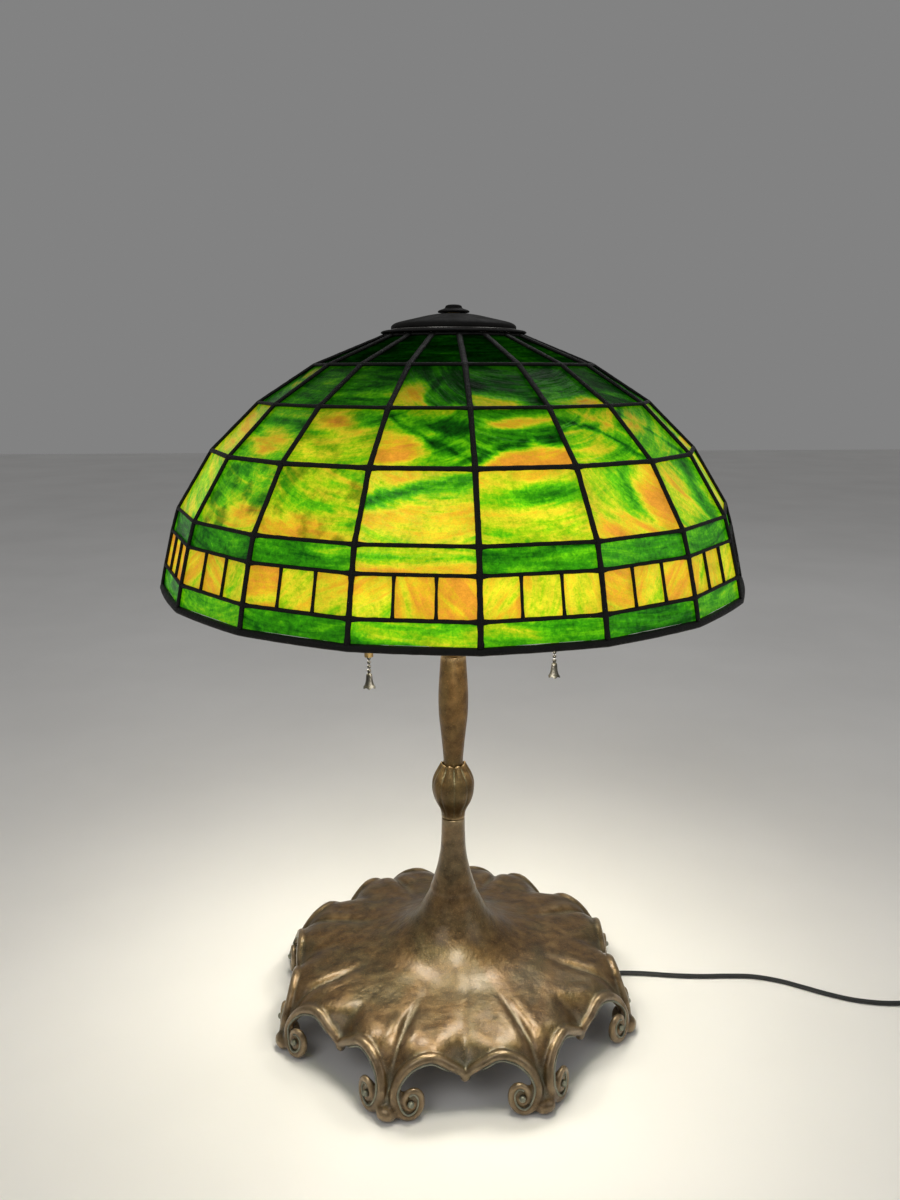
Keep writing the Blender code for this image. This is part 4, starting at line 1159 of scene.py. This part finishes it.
knop()
STEM_FOOT = 220.7
STEM_TOP = 322.8
SPINDLE = [(10.4, STEM_TOP), (10.8, 317.9), (12, 300), (12.6, 286), (12.2, 270), (10.8, 255.8),
           (8.9, 237.6), (8, 223.8), (8, STEM_FOOT)]
build = Build()
degs = range(0, 360, 6)
rings = []
for r, z in smooth_profile(SPINDLE, 1.6):
    rings.append([polar(r + 0.10 * wobble(deg * 0.04, z * 0.06), deg, z) for deg in degs])
rings += [[polar(BORE_R, deg, z) for deg in degs] for z in (STEM_FOOT, STEM_TOP)]
build.loft(rings, loop=True)
made = build.piece("turned_stem", BRONZE_STEM, "stand", "upper_stem", slot="bronze", sharp=50)
mark_curvature(made.data, 6, 0.5, 0.6)


# ---- bulbs, chains and bells --------------------------------------------------------------------
def light_frame(deg):
    """Where a bulb's own axis, up Z from its socket, lies in the lamp."""
    out = Matrix.Rotation(math.radians(deg), 4, "Z") @ Matrix.Translation((0, -ARM_R * MM, ARM_Z * MM))
    return out @ Matrix.Rotation(math.pi / 2 - math.radians(ARM_TILT), 4, "X")


def bell_shape(r, z, deg):
    """Six petals in the mouth of a bell."""
    flare = 1 - ease(BELL_Z, BELL_Z + 3.4, z)
    petal = wave(6 * deg)
    return r * (1 + 0.07 * petal * flare), z - 0.45 * petal * flare


BEAD_PITCH = 3.4
BEADS = math.ceil((CHAIN_TOP - BELL_Z - 17.0) / BEAD_PITCH)
BELL_TOP = CHAIN_TOP - BEADS * BEAD_PITCH - 0.3
BULB_PROFILE = [(0, 137), (6, 136.4), (12.5, 134.4), (19, 130.6), (24.6, 124.8), (28.6, 117),
                (30, 107.5), (29, 99), (25.6, 88), (20, 77.5), (16.2, 71), (14.4, 66),
                (13.6, 60.4)]
# Neck of a bell below its top, then its outside and inside above its lip.
BELL_NECK = [(0, 0), (1, 0.1), (1.5, 0.7), (1.65, 1.5), (1.4, 2.3), (1, 2.9), (1.5, 3.4), (2.1, 4)]
BELL_WALL = [(2.4, 9), (2.55, 7), (2.8, 5), (3.3, 3), (4, 1.4), (4.8, 0.3), (4.85, 0), (4.4, 0.3),
             (3.5, 1.8), (2.8, 3.8), (2.1, 7.4), (0, 8.6)]
bell_profile = [(r, BELL_TOP - z) for r, z in BELL_NECK] + [(r, BELL_Z + z) for r, z in BELL_WALL]
chain_end = BELL_TOP + 0.35
for number, deg in enumerate(LIGHT_DEG, 1):
    pull = f"pull_{number}"
    at = polar(CHAIN_R, deg)
    build = Build()
    build.turn(smooth_profile(BULB_PROFILE, 2.5) + [(0, BULB_PROFILE[-1][1])], 40)
    build.piece(f"lamp_bulb_{number}", BULB, f"bulb_{number}", f"bulb_glass_{number}", slot="bulb",
                matrix=light_frame(deg), sharp=60)
    build = Build()
    for bead_number in range(BEADS):
        build.ball(at + UP * (CHAIN_TOP - BEAD_PITCH * bead_number - 1.7), (1.5, 1.5, 1.5), None, 12)
    build.turn([(0, CHAIN_TOP), (0.42, CHAIN_TOP), (0.42, chain_end), (0, chain_end)], 8, at=at)
    build.piece(f"bead_chain_{number}", PEWTER, pull, f"pull_chain_{number}", slot="brass")
    build = Build()
    build.turn(bell_profile, 36, at=at, shape=bell_shape)
    build.piece(f"bell_drop_{number}", PEWTER, pull, f"pull_bell_{number}", slot="pewter", sharp=60)

# ---- materials of the CAD nodes that stay -------------------------------------------------------
KEPT = {
    STEEL: ["center_pipe", "bottom_washer"],
    BRASS: ["bottom_nut", "cluster_body", "riser_rod", "shade_spider", "plug_blade_1", "plug_blade_2"],
    PHENOLIC: ["cord_bushing"],
}
for number in (1, 2, 3):
    KEPT[BRASS] += [f"socket_cap_{number}", f"socket_shell_{number}", f"screw_shell_{number}"]
    KEPT[PHENOLIC] += [f"socket_core_{number}"]
    KEPT[STEEL] += [f"bulb_base_{number}"]
for mat, names in KEPT.items():
    for name in names:
        for material_slot in nodes[name].material_slots:
            material_slot.material = mat

# ---- floor and light ----------------------------------------------------------------------------
floor_mesh = bpy.data.meshes.new("floor")
floor_mesh.from_pydata([(-6, -6, 0), (6, -6, 0), (6, 6, 0), (-6, 6, 0)], [], [(0, 1, 2, 3)])
floor = add_object("floor", floor_mesh)
floor_look = Look("floor", roughness=0.62)
floor_mesh.materials.append(floor_look.finish(floor_look.ramp(
    floor_look.noise(3, 3), (0.3, (0.80, 0.79, 0.775)), (0.7, (0.86, 0.85, 0.835)))))

world = bpy.data.worlds.new("world")
bpy.context.scene.world = world
world.use_nodes = True
world.node_tree.nodes["Background"].inputs["Color"].default_value = (0.86, 0.86, 0.86, 1)
world.node_tree.nodes["Background"].inputs["Strength"].default_value = 0.26


def add_light(name, kind, at, power):
    light = bpy.data.lights.new(name, kind)
    light.energy = power
    obj = add_object(name, light)
    obj.location = at
    return obj


for name, at, aim_z, power in (("key", (-1.1, -1.4, 1.9), 0.2, 9), ("fill", (1.5, -0.9, 1.2), 0.2, 4),
                               ("back", (0.5, 1.5, 2.3), 0.3, 5)):
    lamp = add_light(name, "AREA", at, power)
    lamp.data.size = 1.2
    lamp.rotation_euler = (Vector((0, 0, aim_z)) - Vector(at)).to_track_quat("-Z", "Y").to_euler()
for number, deg in enumerate(LIGHT_DEG, 1):
    glow = add_light(f"glow_{number}", "POINT", polar(118, deg + 60, 392) * MM, 2.5)
    glow.data.color = (1.0, 0.93, 0.83)
    glow.data.shadow_soft_size = 0.05

bpy.context.scene.view_settings.view_transform = "Standard"
